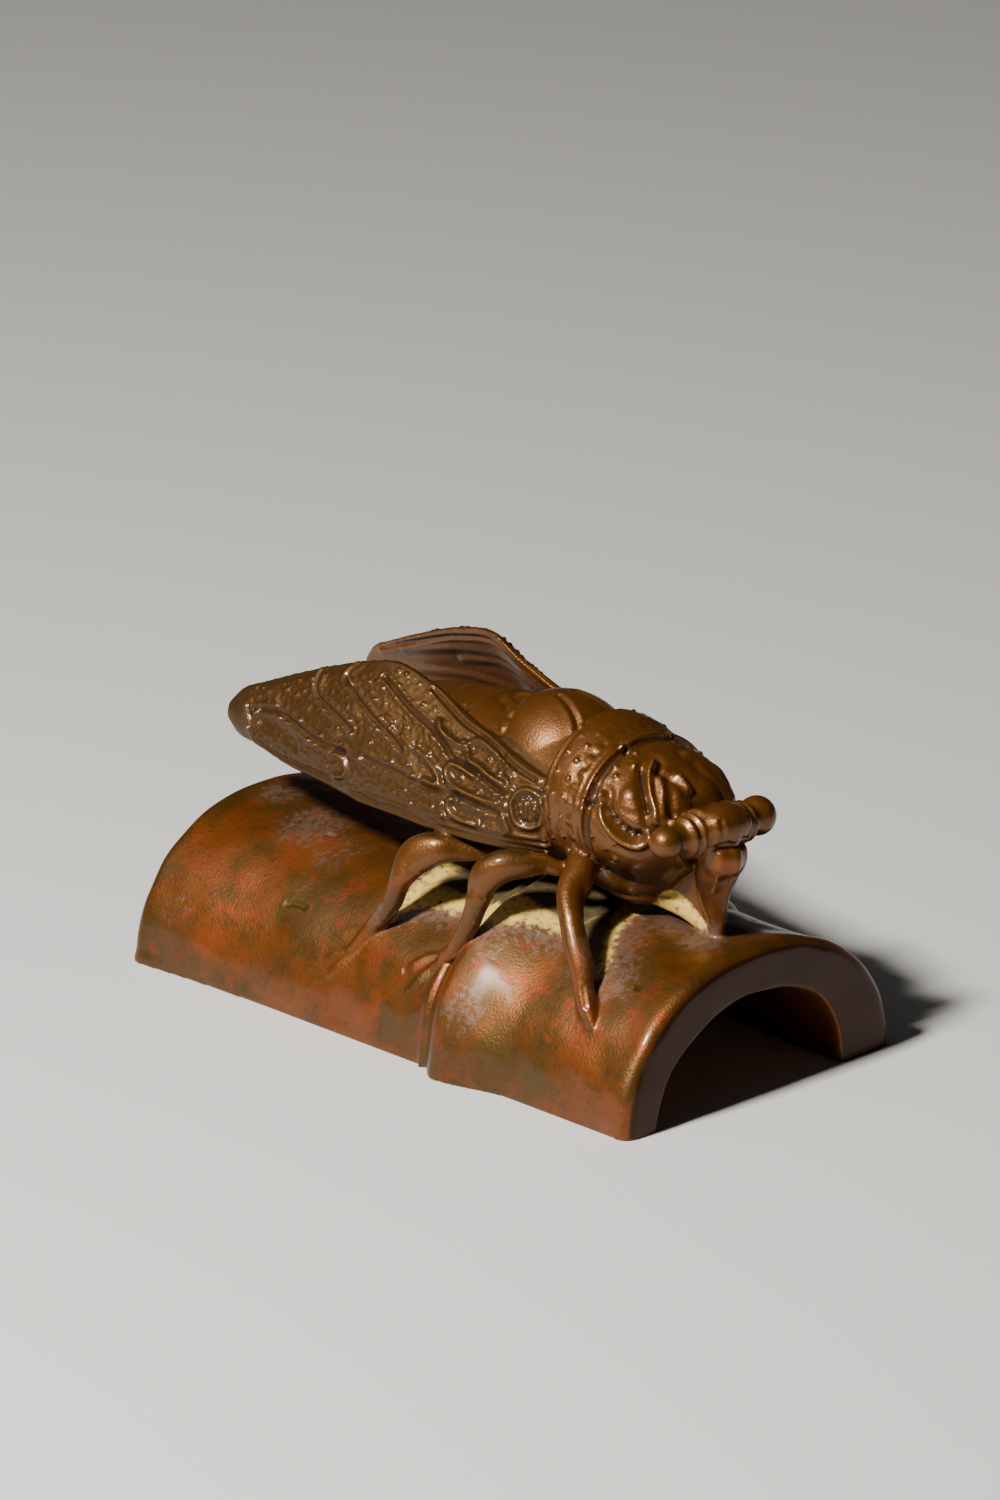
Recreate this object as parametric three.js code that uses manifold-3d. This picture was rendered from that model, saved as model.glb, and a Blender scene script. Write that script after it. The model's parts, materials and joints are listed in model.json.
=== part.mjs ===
// A bronze cicada that sits on a length of split bamboo, cast in one piece.
// Millimetres, +Z up. The bamboo runs along X and the cicada faces +X.
// The origin is on the ground under the middle of the bamboo.
import * as THREE from "three";
import { mergeVertices } from "three/addons/utils/BufferGeometryUtils.js";
import Module from "manifold-3d";

// The bamboo: half a culm, open below, with one node towards its front end.
const BAMBOO_LENGTH = 98;
const BAMBOO_WIDTH = 50;
const BAMBOO_HEIGHT = 21.3;
const OUTER_ROUNDNESS = 2.15; // exponent of the arch: 2 is an ellipse, more is squarer
const INNER_ROUNDNESS = 2.05;
const WALL_AT_FEET = 6.2;
const WALL_AT_CROWN = 6.9;
const END_ROUNDING = 2.1;
const LIP_FLARE = 0.5;
const LIP_LENGTH = 9;
const ARCH_STEPS = 22;

// The node: a thin scar ridge, a groove in front of it, and a swelling that fades forwards.
const NODE_X = 9.1;
const SCAR_HEIGHT = 0.8;
const SCAR_HALF_WIDTH = 0.8;
const SWELL_HEIGHT = 2.7;
const SWELL_RISE = 3.6;
const SWELL_FADE = 13;

// Body sections along X: height of the widest line, half width, and reach up and down.
const TRUNK = [
  { x: -35, z: 32.6, half: 2.4, up: 2.4, down: 1.6 },
  { x: -31, z: 32.8, half: 5.4, up: 5.0, down: 3.2 },
  { x: -25, z: 33.0, half: 8.2, up: 7.2, down: 4.8 },
  { x: -17, z: 33.3, half: 10.6, up: 8.9, down: 6.2 },
  { x: -9, z: 33.8, half: 11.8, up: 9.6, down: 7.2 },
  { x: 0, z: 34.2, half: 12.0, up: 10.2, down: 8.4 },
  { x: 10, z: 34.6, half: 11.6, up: 10.4, down: 9.4 },
  { x: 18, z: 34.8, half: 10.8, up: 9.8, down: 10.4 },
  { x: 24, z: 34.8, half: 10.2, up: 8.2, down: 11.7 },
  { x: 29, z: 34.6, half: 9.4, up: 6.0, down: 11.7 },
  { x: 34, z: 34.4, half: 6.6, up: 3.4, down: 8.8 },
  { x: 38.5, z: 34.2, half: 5.0, up: 2.0, down: 5.4 },
];
const DOME = [
  { x: 25.8, z: 34.8, half: 11.0, up: 9.2, down: 9.0 },
  { x: 29.0, z: 34.8, half: 11.2, up: 9.2, down: 9.4 },
  { x: 31.5, z: 34.8, half: 10.9, up: 8.5, down: 9.4 },
  { x: 34.0, z: 34.8, half: 10.1, up: 7.1, down: 8.6 },
  { x: 36.2, z: 34.8, half: 8.8, up: 5.4, down: 7.0 },
  { x: 37.8, z: 34.8, half: 7.2, up: 3.6, down: 5.2 },
  { x: 38.6, z: 34.8, half: 5.2, up: 2.2, down: 3.4 },
];
const TRUNK_STEPS = 17;
const DOME_STEPS = 8;
const TRUNK_SIDES = 26;

// The smooth shield behind the collar is an egg shape.
const SHIELD = { at: [9.4, 0, 36.0], radii: [10.9, 11.6, 11.7] };

// The collar: places along X with a half width and a half height about its middle line.
const COLLAR_HEIGHT = 35;
const COLLAR = [
  { x: 18.9, half: 10.2, up: 9.9 },
  { x: 19.5, half: 11.3, up: 11.2 },
  { x: 20.8, half: 11.8, up: 11.6 },
  { x: 23.4, half: 11.9, up: 11.1 },
  { x: 25.4, half: 11.5, up: 9.9 },
  { x: 26.0, half: 11.9, up: 10.1 },
  { x: 26.9, half: 12.0, up: 10.1 },
  { x: 27.6, half: 11.3, up: 9.4 },
];

// The head is a bar across the front with ringed joints and an eye on each end.
const HEAD_BAR_AT = { x: 41.0, z: 34.9 };
const HEAD_BAR = [
  { y: 3.3, radius: 3.3 },
  { y: 3.8, radius: 2.8 },
  { y: 4.3, radius: 3.2 },
  { y: 4.9, radius: 2.7 },
  { y: 5.6, radius: 3.0 },
  { y: 6.3, radius: 2.4 },
  { y: 8.6, radius: 1.9 },
];
const EYE = { x: 41.3, y: 9.2, z: 34.9, radius: 2.5 };
const BROW = { at: [42.7, 0, 36.0], radii: [3.0, 4.2, 2.8] };

// The face tapers down into a beak that runs into the bamboo.
const BEAK = [
  { z: 35.0, x: 41.2, deep: 3.0, wide: 3.4 },
  { z: 31.9, x: 42.2, deep: 3.4, wide: 3.4 },
  { z: 28.8, x: 41.6, deep: 3.3, wide: 3.2 },
  { z: 26.3, x: 41.0, deep: 2.6, wide: 2.5 },
  { z: 23.5, x: 41.0, deep: 1.6, wide: 1.4 },
  { z: 21.0, x: 40.6, deep: 1.1, wide: 1.0 },
  { z: 18.5, x: 40.4, deep: 1.1, wide: 1.0 },
];
const BEAK_SIDES = 14;

// A web of metal runs back from the beak to the chest.
const WEB = [
  { x: 28.0, low: 24.4, half: 3.0 },
  { x: 32.0, low: 24.0, half: 2.2 },
  { x: 36.0, low: 22.9, half: 1.4 },
  { x: 41.0, low: 20.4, half: 0.9 },
];
const WEB_TOP = 30;

// A wing hangs between two edges that run from the collar to the tip: x, distance out, z.
const WING_UPPER_EDGE = [
  [20.6, 10.0, 38.6],
  [14.2, 9.8, 40.2],
  [2.5, 8.6, 43.4],
  [-6.8, 8.2, 46.6],
  [-12.4, 8.6, 47.8],
  [-19.6, 9.3, 46.3],
  [-29.4, 10.2, 43.0],
  [-37.0, 11.2, 40.0],
  [-40.4, 11.8, 38.6],
  [-42.4, 12.3, 36.4],
];
const WING_LOWER_EDGE = [
  [21.0, 10.8, 29.0],
  [13.5, 14.6, 29.2],
  [3.9, 15.9, 29.3],
  [-4.8, 16.1, 29.5],
  [-12.0, 16.0, 29.6],
  [-19.6, 15.5, 30.3],
  [-28.0, 14.7, 30.8],
  [-35.2, 14.0, 31.9],
  [-39.8, 13.5, 32.3],
  [-42.2, 13.0, 33.8],
];
const WING_BULGE = 0.11; // as a share of the wing's breadth
const WING_THICKNESS = 2.0;
const LEFT_WING_RISE = 1.6; // how much higher the left wing's tip stands
const WING_STEPS = 19;
const WING_SPANS = 7;

// A leg: points from the body to the foot, x, distance out, z, and the leg's radius there.
// The two front legs reach forwards differently, and the others are alike on both sides.
const RIGHT_FRONT_LEG = [
  [23.5, 6.0, 29.0, 2.2],
  [26.6, 10.4, 27.3, 1.9],
  [27.9, 14.2, 25.4, 1.7],
  [32.2, 17.6, 21.2, 1.4],
  [36.3, 19.6, 16.8, 1.2],
  [39.2, 20.9, 11.2, 1.1],
];
const LEFT_FRONT_LEG = [
  [24.5, 4.0, 29.0, 2.2],
  [29.5, 8.2, 27.4, 1.7],
  [31.6, 11.4, 23.2, 1.4],
  [32.0, 14.2, 18.8, 1.2],
  [31.2, 18.4, 13.4, 1.1],
];
const REAR_LEGS = [
  [
    [22.4, 6.4, 27.0, 2.0],
    [19.2, 10.4, 27.2, 1.7],
    [16.6, 14.8, 27.6, 1.6],
    [14.4, 17.9, 27.2, 1.5],
    [13.4, 19.4, 20.6, 1.3],
    [9.2, 21.0, 11.2, 1.2],
  ],
  [
    [4.0, 5.6, 26.4, 2.0],
    [1.0, 9.6, 25.6, 1.7],
    [-0.8, 14.4, 26.4, 1.6],
    [-2.4, 17.8, 25.8, 1.4],
    [-4.8, 19.4, 19.2, 1.2],
    [-7.8, 20.9, 11.2, 1.1],
  ],
];
const LEG_SIDES = 8;
const LEG_STEPS = 11;

const BRONZE_COLOUR = 0x6b3f22;

const wasm = await Module();
wasm.setup();

/** A closed three.js geometry as a solid that can be joined and cut. */
function solidOf(geometry) {
  const bare = new THREE.BufferGeometry()
    .setAttribute("position", geometry.getAttribute("position"))
    .setIndex(geometry.index);
  const merged = mergeVertices(bare, 1e-4);
  const all = merged.index.array;
  const corners = [];
  for (let i = 0; i < all.length; i += 3) {
    const [a, b, c] = [all[i], all[i + 1], all[i + 2]];
    if (a !== b && b !== c && c !== a) corners.push(a, b, c);
  }
  return new wasm.Manifold(
    new wasm.Mesh({
      numProp: 3,
      vertProperties: new Float32Array(merged.attributes.position.array),
      triVerts: new Uint32Array(corners),
    }),
  );
}

/** A solid as a three.js geometry. */
function geometryOf(solid) {
  const mesh = solid.getMesh();
  const geometry = new THREE.BufferGeometry()
    .setAttribute("position", new THREE.BufferAttribute(mesh.vertProperties, 3))
    .setIndex(new THREE.BufferAttribute(mesh.triVerts, 1));
  geometry.computeVertexNormals();
  return geometry;
}

/** Six times the signed volume inside a list of triangle corners. */
function signedVolume(points, corners) {
  let sum = 0;
  for (let i = 0; i < corners.length; i += 3) {
    const [a, b, c] = [0, 1, 2].map((k) => points[corners[i + k]]);
    sum += a.dot(b.clone().cross(c));
  }
  return sum;
}

/** Joins rings of points, all of one length, into a tube closed by the given end faces. */
function loft(rings, closeRing) {
  const count = rings[0].length;
  const points = rings.flat();
  const corners = [];
  for (let i = 0; i + 1 < rings.length; i += 1) {
    for (let j = 0; j < count; j += 1) {
      const a = i * count + j;
      const b = i * count + ((j + 1) % count);
      corners.push(a, b, a + count, b, b + count, a + count);
    }
  }
  const firstFace = closeRing(points, 0, count);
  const lastFace = closeRing(points, (rings.length - 1) * count, count);
  corners.push(...firstFace.reverse(), ...lastFace);
  if (signedVolume(points, corners) < 0) corners.reverse();
  return new THREE.BufferGeometry().setFromPoints(points).setIndex(corners);
}

/** Closes a round ring with a fan about its middle. */
function fan(points, start, count) {
  const ring = points.slice(start, start + count);
  const middle = ring.reduce((sum, p) => sum.add(p), new THREE.Vector3()).divideScalar(count);
  const centre = points.push(middle) - 1;
  return ring.flatMap((_, j) => [centre, start + j, start + ((j + 1) % count)]);
}

/** Closes a ring that runs out along one side and back along the other with a strip. */
function strip(points, start, count) {
  const corners = [];
  for (let j = 0; j < count / 2 - 1; j += 1) {
    const [a, b] = [start + j, start + j + 1];
    const [c, d] = [start + count - 1 - j, start + count - 2 - j];
    corners.push(a, b, c, b, d, c);
  }
  return corners;
}

/** A smooth function through stations: the named values at any place along them. */
function through(stations, key, names) {
  const sorted = [...stations].sort((a, b) => a[key] - b[key]);
  const samples = sorted.flatMap((s) => names.map((n) => s[n]));
  const curve = new THREE.CubicInterpolant(sorted.map((s) => s[key]), samples, names.length);
  return (at) => {
    const found = curve.evaluate(at);
    return Object.fromEntries(names.map((n, i) => [n, found[i]]));
  };
}

/** Even steps from one value to another, both included. */
function steps(from, to, count) {
  return Array.from({ length: count + 1 }, (_, i) => THREE.MathUtils.lerp(from, to, i / count));
}

/** A sine or cosine drawn out towards a squarer arch. */
function squared(value, roundness) {
  return Math.sign(value) * Math.abs(value) ** (2 / roundness);
}

/** How far the culm stands out at x, from its node and its flared front lip. */
function culmSwelling(x) {
  const { smoothstep } = THREE.MathUtils;
  const scar = SCAR_HEIGHT * Math.exp(-(((x - NODE_X) / SCAR_HALF_WIDTH) ** 2));
  const ahead = x - NODE_X - SCAR_HALF_WIDTH;
  const rise = smoothstep(ahead, 0, SWELL_RISE);
  const fade = 1 - smoothstep(ahead, SWELL_RISE, SWELL_RISE + SWELL_FADE);
  const lip = smoothstep(x, BAMBOO_LENGTH / 2 - LIP_LENGTH, BAMBOO_LENGTH / 2);
  return scar + SWELL_HEIGHT * rise * fade + LIP_FLARE * lip;
}

/** Half an arch of points at x, from the near foot over the crown to the far foot. */
function arch(x, half, high, roundness) {
  return steps(0, Math.PI, ARCH_STEPS).map((turn) => {
    const across = squared(Math.cos(turn), roundness);
    const rise = squared(Math.max(Math.sin(turn), 0), roundness);
    return new THREE.Vector3(x, -half * across, high * rise);
  });
}

/** One C-shaped section of the culm, drawn in by the rounding of its ends. */
function culmRing({ x, inset }) {
  const out = culmSwelling(x) - inset;
  const bore = inset * 0.2;
  const outer = arch(x, BAMBOO_WIDTH / 2 + out, BAMBOO_HEIGHT + out, OUTER_ROUNDNESS);
  const inner = arch(
    x,
    BAMBOO_WIDTH / 2 - WALL_AT_FEET + bore,
    BAMBOO_HEIGHT - WALL_AT_CROWN + bore,
    INNER_ROUNDNESS,
  );
  for (const ring of [outer, inner]) ring.at(-1).z = ring[0].z = 0;
  return [...outer, ...inner.reverse()];
}

/** The length of split bamboo, with rounded ends. */
function bamboo() {
  const end = BAMBOO_LENGTH / 2;
  const corner = [0, 30, 60, 90].map((degrees) => {
    const turn = THREE.MathUtils.degToRad(degrees);
    return {
      x: end - END_ROUNDING * (1 - Math.cos(turn)),
      inset: END_ROUNDING * (1 - Math.sin(turn)),
    };
  });
  const back = corner.map(({ x, inset }) => ({ x: -x, inset }));
  const front = corner.toReversed();
  const ahead = [-5, -1.4, -0.7, 0, 0.7, 1.5, 2.5, 3.5, 4.5, 6.3, 8.3, 10.8, 13.8, 17.8];
  const node = ahead.map((step) => NODE_X + step);
  const middle = [-30, -12, ...node, 34, 40, 44].map((x) => ({ x, inset: 0 }));
  return loft([...back, ...middle, ...front].map(culmRing), strip);
}

/** A closed ring about a middle line along X, with its own reach up and down. */
function trunkRing({ x, z, half, up, down }) {
  return steps(0, 2 * Math.PI, TRUNK_SIDES).slice(1).map((turn) => {
    const rise = Math.sin(turn);
    return new THREE.Vector3(x, half * Math.cos(turn), z + rise * (rise > 0 ? up : down));
  });
}

/** A smooth body through sections along X: the trunk, or the dome behind the head. */
function body(sections, count) {
  const along = through(sections, "x", ["z", "half", "up", "down"]);
  const places = steps(sections[0].x, sections.at(-1).x, count);
  return loft(places.map((x) => trunkRing({ x, ...along(x) })), fan);
}

/** The stepped collar behind the dome. */
function collar() {
  const rings = COLLAR.map(({ x, half, up }) =>
    trunkRing({ x, z: COLLAR_HEIGHT, half, up, down: up * 0.9 }),
  );
  return loft(rings, fan);
}

/** An egg shape. */
function egg({ at, radii }, around, up) {
  const ball = new THREE.SphereGeometry(1, around, up);
  return ball.rotateX(Math.PI / 2).scale(...radii).translate(...at);
}

/** The bar of the head from one eye to the other. */
function headBar() {
  const near = HEAD_BAR.map(({ y, radius }) => ({ y: -y, radius })).reverse();
  const rings = [...near, ...HEAD_BAR].map(({ y, radius }) =>
    steps(0, 2 * Math.PI, 16).slice(1).map((turn) => {
      const x = HEAD_BAR_AT.x + radius * Math.cos(turn);
      return new THREE.Vector3(x, y, HEAD_BAR_AT.z + radius * Math.sin(turn));
    }),
  );
  return loft(rings, fan);
}

/** The face and the beak below it. */
function beak() {
  const rings = BEAK.map(({ z, x, deep, wide }) =>
    steps(0, 2 * Math.PI, BEAK_SIDES).slice(1).map(
      (turn) => new THREE.Vector3(x + deep * Math.cos(turn), wide * Math.sin(turn), z),
    ),
  );
  return loft(rings, fan);
}

/** The web of metal between the beak and the chest. */
function web() {
  const rings = WEB.map(({ x, low, half }) => [
    new THREE.Vector3(x, -half, WEB_TOP),
    new THREE.Vector3(x, -half, low + half * 0.6),
    new THREE.Vector3(x, 0, low),
    new THREE.Vector3(x, half, low + half * 0.6),
    new THREE.Vector3(x, half, WEB_TOP),
  ]);
  return loft(rings, fan);
}

/** A smooth curve through points given as x, distance out and z, on one side of the body. */
function sideCurve(points, side) {
  return new THREE.CatmullRomCurve3(
    points.map(([x, out, z]) => new THREE.Vector3(x, out * side, z)),
  );
}

/** A wing on one side: a curved plate with a thinner rim. */
function wing(side) {
  const upper = sideCurve(WING_UPPER_EDGE, side);
  const lower = sideCurve(WING_LOWER_EDGE, side);
  const rings = steps(0, 1, WING_STEPS).map((s) => {
    const top = upper.getPointAt(s);
    const foot = lower.getPointAt(s);
    const rise = side > 0 ? LEFT_WING_RISE * Math.min(1, 1.5 * s) : 0;
    for (const edge of [top, foot]) edge.z += rise;
    const outward = new THREE.Vector3(0, side * (top.z - foot.z), Math.abs(foot.y - top.y));
    outward.normalize();
    const bulge = WING_BULGE * top.distanceTo(foot);
    const face = (sign) =>
      steps(0, 1, WING_SPANS).map((t) => {
        const round = Math.sin(Math.PI * t);
        const rim = 0.35 + 0.65 * Math.min(1, 2 * round);
        const lift = bulge * round + sign * 0.5 * WING_THICKNESS * rim;
        return top.clone().lerp(foot, t).addScaledVector(outward, lift);
      });
    return [...face(1), ...face(-1).reverse()];
  });
  return loft(rings, strip);
}

/** A leg on one side: a round tube that narrows towards the foot. */
function leg(joints, side) {
  const curve = sideCurve(joints, side);
  const radii = through(
    joints.map(([, , , radius], i) => ({ place: i / (joints.length - 1), radius })),
    "place",
    ["radius"],
  );
  const across = new THREE.Vector3(1, 0, 0);
  const rings = steps(0, 1, LEG_STEPS).map((place) => {
    const centre = curve.getPoint(place);
    const along = curve.getTangent(place);
    const first = across.clone().addScaledVector(along, -across.dot(along)).normalize();
    const second = along.clone().cross(first);
    const { radius } = radii(place);
    return steps(0, 2 * Math.PI, LEG_SIDES).slice(1).map((turn) =>
      centre
        .clone()
        .addScaledVector(first, radius * Math.cos(turn))
        .addScaledVector(second, radius * Math.sin(turn)),
    );
  });
  return loft(rings, fan);
}

/** The whole casting as one closed solid. */
function casting() {
  const pieces = [
    bamboo(),
    body(TRUNK, TRUNK_STEPS),
    body(DOME, DOME_STEPS),
    collar(),
    egg(SHIELD, 24, 13),
    headBar(),
    egg(BROW, 16, 10),
    beak(),
    web(),
    leg(RIGHT_FRONT_LEG, -1),
    leg(LEFT_FRONT_LEG, 1),
  ];
  const eyeRadii = [EYE.radius, EYE.radius, EYE.radius];
  for (const side of [-1, 1]) {
    pieces.push(wing(side));
    pieces.push(egg({ at: [EYE.x, EYE.y * side, EYE.z], radii: eyeRadii }, 14, 10));
    for (const joints of REAR_LEGS) pieces.push(leg(joints, side));
  }
  return pieces.map(solidOf).reduce((whole, next) => whole.add(next));
}

const group = new THREE.Group();
const mesh = new THREE.Mesh(
  geometryOf(casting()),
  new THREE.MeshStandardMaterial({ color: BRONZE_COLOUR, roughness: 0.35, metalness: 1 }),
);
mesh.name = "cicada_on_bamboo";
group.add(mesh);

export default group;
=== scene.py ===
"""A bronze cicada on split bamboo, cast in one piece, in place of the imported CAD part.

The forms are drawn out of primitives and fused into one skin, the relief is worked into that
skin, and the skin is patinated and waxed. Forms and relief are in millimetres of the casting,
one Blender unit each. The finished skin is then brought to metres in the CAD part's frame.
"""

import json
import logging
import math
from collections.abc import Mapping, Sequence
from dataclasses import dataclass, field
from enum import Enum

import bmesh
import bpy
import numpy as np
from mathutils import Matrix, Vector
from mathutils.kdtree import KDTree

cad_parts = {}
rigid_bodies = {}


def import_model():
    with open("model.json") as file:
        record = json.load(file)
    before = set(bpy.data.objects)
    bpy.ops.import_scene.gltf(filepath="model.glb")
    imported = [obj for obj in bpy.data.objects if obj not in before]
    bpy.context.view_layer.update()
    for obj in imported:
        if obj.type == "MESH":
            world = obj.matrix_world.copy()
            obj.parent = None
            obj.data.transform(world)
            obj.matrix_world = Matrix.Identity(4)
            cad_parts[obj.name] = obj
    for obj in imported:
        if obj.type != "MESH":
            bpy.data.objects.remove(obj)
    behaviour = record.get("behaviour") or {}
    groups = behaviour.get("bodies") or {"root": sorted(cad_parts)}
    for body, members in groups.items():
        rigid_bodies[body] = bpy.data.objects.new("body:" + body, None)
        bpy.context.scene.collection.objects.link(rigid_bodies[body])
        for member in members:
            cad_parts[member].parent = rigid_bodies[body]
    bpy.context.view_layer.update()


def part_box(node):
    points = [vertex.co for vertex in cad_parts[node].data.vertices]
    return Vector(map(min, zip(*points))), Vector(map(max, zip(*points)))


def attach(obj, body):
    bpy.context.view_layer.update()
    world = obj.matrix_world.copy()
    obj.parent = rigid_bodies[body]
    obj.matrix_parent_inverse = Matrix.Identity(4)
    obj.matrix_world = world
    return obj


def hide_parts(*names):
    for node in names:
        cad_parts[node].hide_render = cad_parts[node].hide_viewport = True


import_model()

CAD_NODE = "cicada_on_bamboo"
BODY = "root"

BAMBOO_LENGTH = 98.0
LOW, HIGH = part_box(CAD_NODE)
METRES = (HIGH.x - LOW.x) / BAMBOO_LENGTH  # in one millimetre of the casting
NEAR_SIDE, FAR_SIDE = -1.0, 1.0
TWO_PI = 2 * math.pi
TRACE_STEP = 0.4  # between the points of a line that a chisel follows
BROAD_STEP = 0.5  # the same for long lines
NEARLY_ALONG = 0.8  # a limb that runs more along x than this starts its rings from z

log = logging.getLogger("cicada")


def smooth_through(places: np.ndarray, values: np.ndarray, at: np.ndarray) -> np.ndarray:
    """Reads a smooth curve through stations.

    Args:
        places: Where the stations are, rising.
        values: One row of values for each station.
        at: The places to read.

    Returns:
        One row of values for each place that is read.
    """
    slopes = np.gradient(values, places, axis=0)
    at = np.clip(at, places[0], places[-1])
    after = np.clip(np.searchsorted(places, at, side="right"), 1, len(places) - 1)
    before = after - 1
    gap = (places[after] - places[before])[:, None]
    part = (at[:, None] - places[before][:, None]) / gap
    start = (1 + 2 * part) * (1 - part) ** 2 * values[before]
    leave = part * (1 - part) ** 2 * gap * slopes[before]
    end = part**2 * (3 - 2 * part) * values[after]
    arrive = part**2 * (part - 1) * gap * slopes[after]
    return start + leave + end + arrive


def unit(vectors: np.ndarray) -> np.ndarray:
    """Vectors of length one."""
    length = np.linalg.norm(vectors, axis=-1, keepdims=True)
    return vectors / np.maximum(length, 1e-9)


def smooth_step(value: np.ndarray | float, low: float, high: float) -> np.ndarray:
    """Rises smoothly from 0 at low to 1 at high."""
    part = np.clip((np.asarray(value, float) - low) / (high - low), 0, 1)
    return part * part * (3 - 2 * part)


def fall(value: np.ndarray | float, low: float, high: float) -> np.ndarray:
    """Falls smoothly from 1 at low to 0 at high."""
    return 1 - smooth_step(value, low, high)


def points_at(x: np.ndarray | float, y: np.ndarray | float, z: np.ndarray | float) -> np.ndarray:
    """Points from their coordinates, each an array or one number for all."""
    return np.stack(np.broadcast_arrays(x, y, z), axis=-1)


def stations(table: Sequence[Sequence[float]], steps: int) -> np.ndarray:
    """Closely spaced rows, drawn smoothly through a table with the place in its first column.

    Args:
        table: Rows with the place in their first column, rising.
        steps: How many rows to draw.

    Returns:
        One row for each step.
    """
    rows = np.array(table, float)
    places = np.linspace(rows[0, 0], rows[-1, 0], steps)
    return np.column_stack([places, smooth_through(rows[:, 0], rows[:, 1:], places)])


class Line:
    """A smooth line through points, read by its share of length."""

    FINENESS = 500

    def __init__(self, points: Sequence[Sequence[float]]) -> None:
        """Draws the line.

        Args:
            points: The points that it runs through, in millimetres.
        """
        rough = np.asarray(points, float)
        gaps = np.sqrt(np.linalg.norm(np.diff(rough, axis=0), axis=1))
        places = np.concatenate([[0.0], np.cumsum(gaps)])
        fine = np.linspace(0, places[-1], self.FINENESS)
        self.points = smooth_through(places, rough, fine)
        run = np.cumsum(np.linalg.norm(np.diff(self.points, axis=0), axis=1))
        self.length = float(run[-1])
        self.share = np.concatenate([[0.0], run]) / self.length
        self.stops = np.interp(places, fine, self.share)  # the shares of the points given

    def at(self, share: np.ndarray) -> np.ndarray:
        """Points at these shares of the line's length."""
        columns = [np.interp(share, self.share, self.points[:, k]) for k in range(3)]
        return np.stack(columns, axis=-1)

    def every(self, spacing: float) -> np.ndarray:
        """Points along the line at about this spacing in millimetres."""
        return self.at(np.linspace(0, 1, max(2, int(self.length / spacing) + 1)))


def circle(count: int) -> tuple[np.ndarray, np.ndarray]:
    """The cosines and sines of even steps once round."""
    turn = np.arange(count) * TWO_PI / count
    return np.cos(turn), np.sin(turn)


def select_only(*pieces: bpy.types.Object) -> None:
    """Selects these pieces and nothing else, and makes the first of them active."""
    for other in bpy.context.selected_objects:
        other.select_set(False)
    for piece in pieces:
        piece.select_set(True)
    if pieces:
        bpy.context.view_layer.objects.active = pieces[0]


def read_rows(items: bpy.types.bpy_prop_collection, name: str) -> np.ndarray:
    """Three numbers for each of a mesh's items.

    Args:
        items: The mesh's vertices or normals.
        name: What to read of each.

    Returns:
        One row for each item.
    """
    flat = np.zeros(len(items) * 3, np.float32)
    items.foreach_get(name, flat)
    return flat.reshape(-1, 3)


def write_places(piece: bpy.types.Object, co: np.ndarray) -> None:
    """Puts a mesh's points at new places."""
    piece.data.vertices.foreach_set("co", co.astype(np.float32).ravel())
    piece.data.update()


def loft(name: str, rings: Sequence[np.ndarray]) -> bpy.types.Object:
    """Draws a closed skin through rings, by extruding a disc from each ring to the next.

    Args:
        name: The new object's name.
        rings: Rings of points, all with the same count, in millimetres.

    Returns:
        The new object.
    """
    select_only()
    bpy.ops.mesh.primitive_circle_add(vertices=len(rings[0]), fill_type="NGON")
    piece = bpy.context.object
    piece.name = name
    disc = np.array([v.co for v in piece.data.vertices])
    bpy.ops.object.mode_set(mode="EDIT")
    bpy.ops.mesh.select_all(action="SELECT")
    previous = disc
    for step, ring in enumerate(rings):
        if step:
            bpy.ops.mesh.extrude_region_move()
        mesh = bmesh.from_edit_mesh(piece.data)
        moving = [v for v in mesh.verts if v.select]
        places = np.array([v.co for v in moving])
        gaps = np.linalg.norm(places[:, None] - previous[None], axis=2)
        for vertex, match in zip(moving, gaps.argmin(axis=1)):
            vertex.co = ring[match]
        bmesh.update_edit_mesh(piece.data)
        previous = np.array(ring, np.float32)
    bpy.ops.mesh.select_all(action="SELECT")
    bpy.ops.mesh.normals_make_consistent(inside=False)
    bpy.ops.object.mode_set(mode="OBJECT")
    return piece


def tube(name: str, line: Line, radii: Sequence[float], count: int, steps: int) -> bpy.types.Object:
    """Draws a round limb along a line.

    Args:
        name: The new object's name.
        line: The middle of the limb.
        radii: Its radius at each point that the line was drawn through.
        count: Points round it.
        steps: Rings along it.

    Returns:
        The new object.
    """
    share = np.linspace(0, 1, steps)
    centres = line.at(share)
    along = unit(np.gradient(centres, axis=0))
    radius = smooth_through(line.stops, np.array(radii)[:, None], share)[:, 0]
    cos, sin = circle(count)
    rings = []
    first = np.array([1.0, 0.0, 0.0] if abs(along[0][0]) < NEARLY_ALONG else [0.0, 0.0, 1.0])
    for centre, way, size in zip(centres, along, radius):
        first = unit(first - (first @ way) * way)
        second = np.cross(way, first)
        rings.append(centre + size * (cos[:, None] * first + sin[:, None] * second))
    return loft(name, rings)


def egg(name: str, at: Sequence[float], radii: Sequence[float]) -> bpy.types.Object:
    """Adds a rounded lump.

    Args:
        name: The new object's name.
        at: Its middle.
        radii: Its half sizes along the three axes.

    Returns:
        The new object.
    """
    select_only()
    bpy.ops.mesh.primitive_uv_sphere_add(segments=56, ring_count=36, radius=1.0)
    piece = bpy.context.object
    piece.name = name
    bpy.ops.transform.resize(value=tuple(radii))
    bpy.ops.transform.translate(value=tuple(at))
    bpy.ops.object.transform_apply(location=True, rotation=True, scale=True)
    return piece


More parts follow.
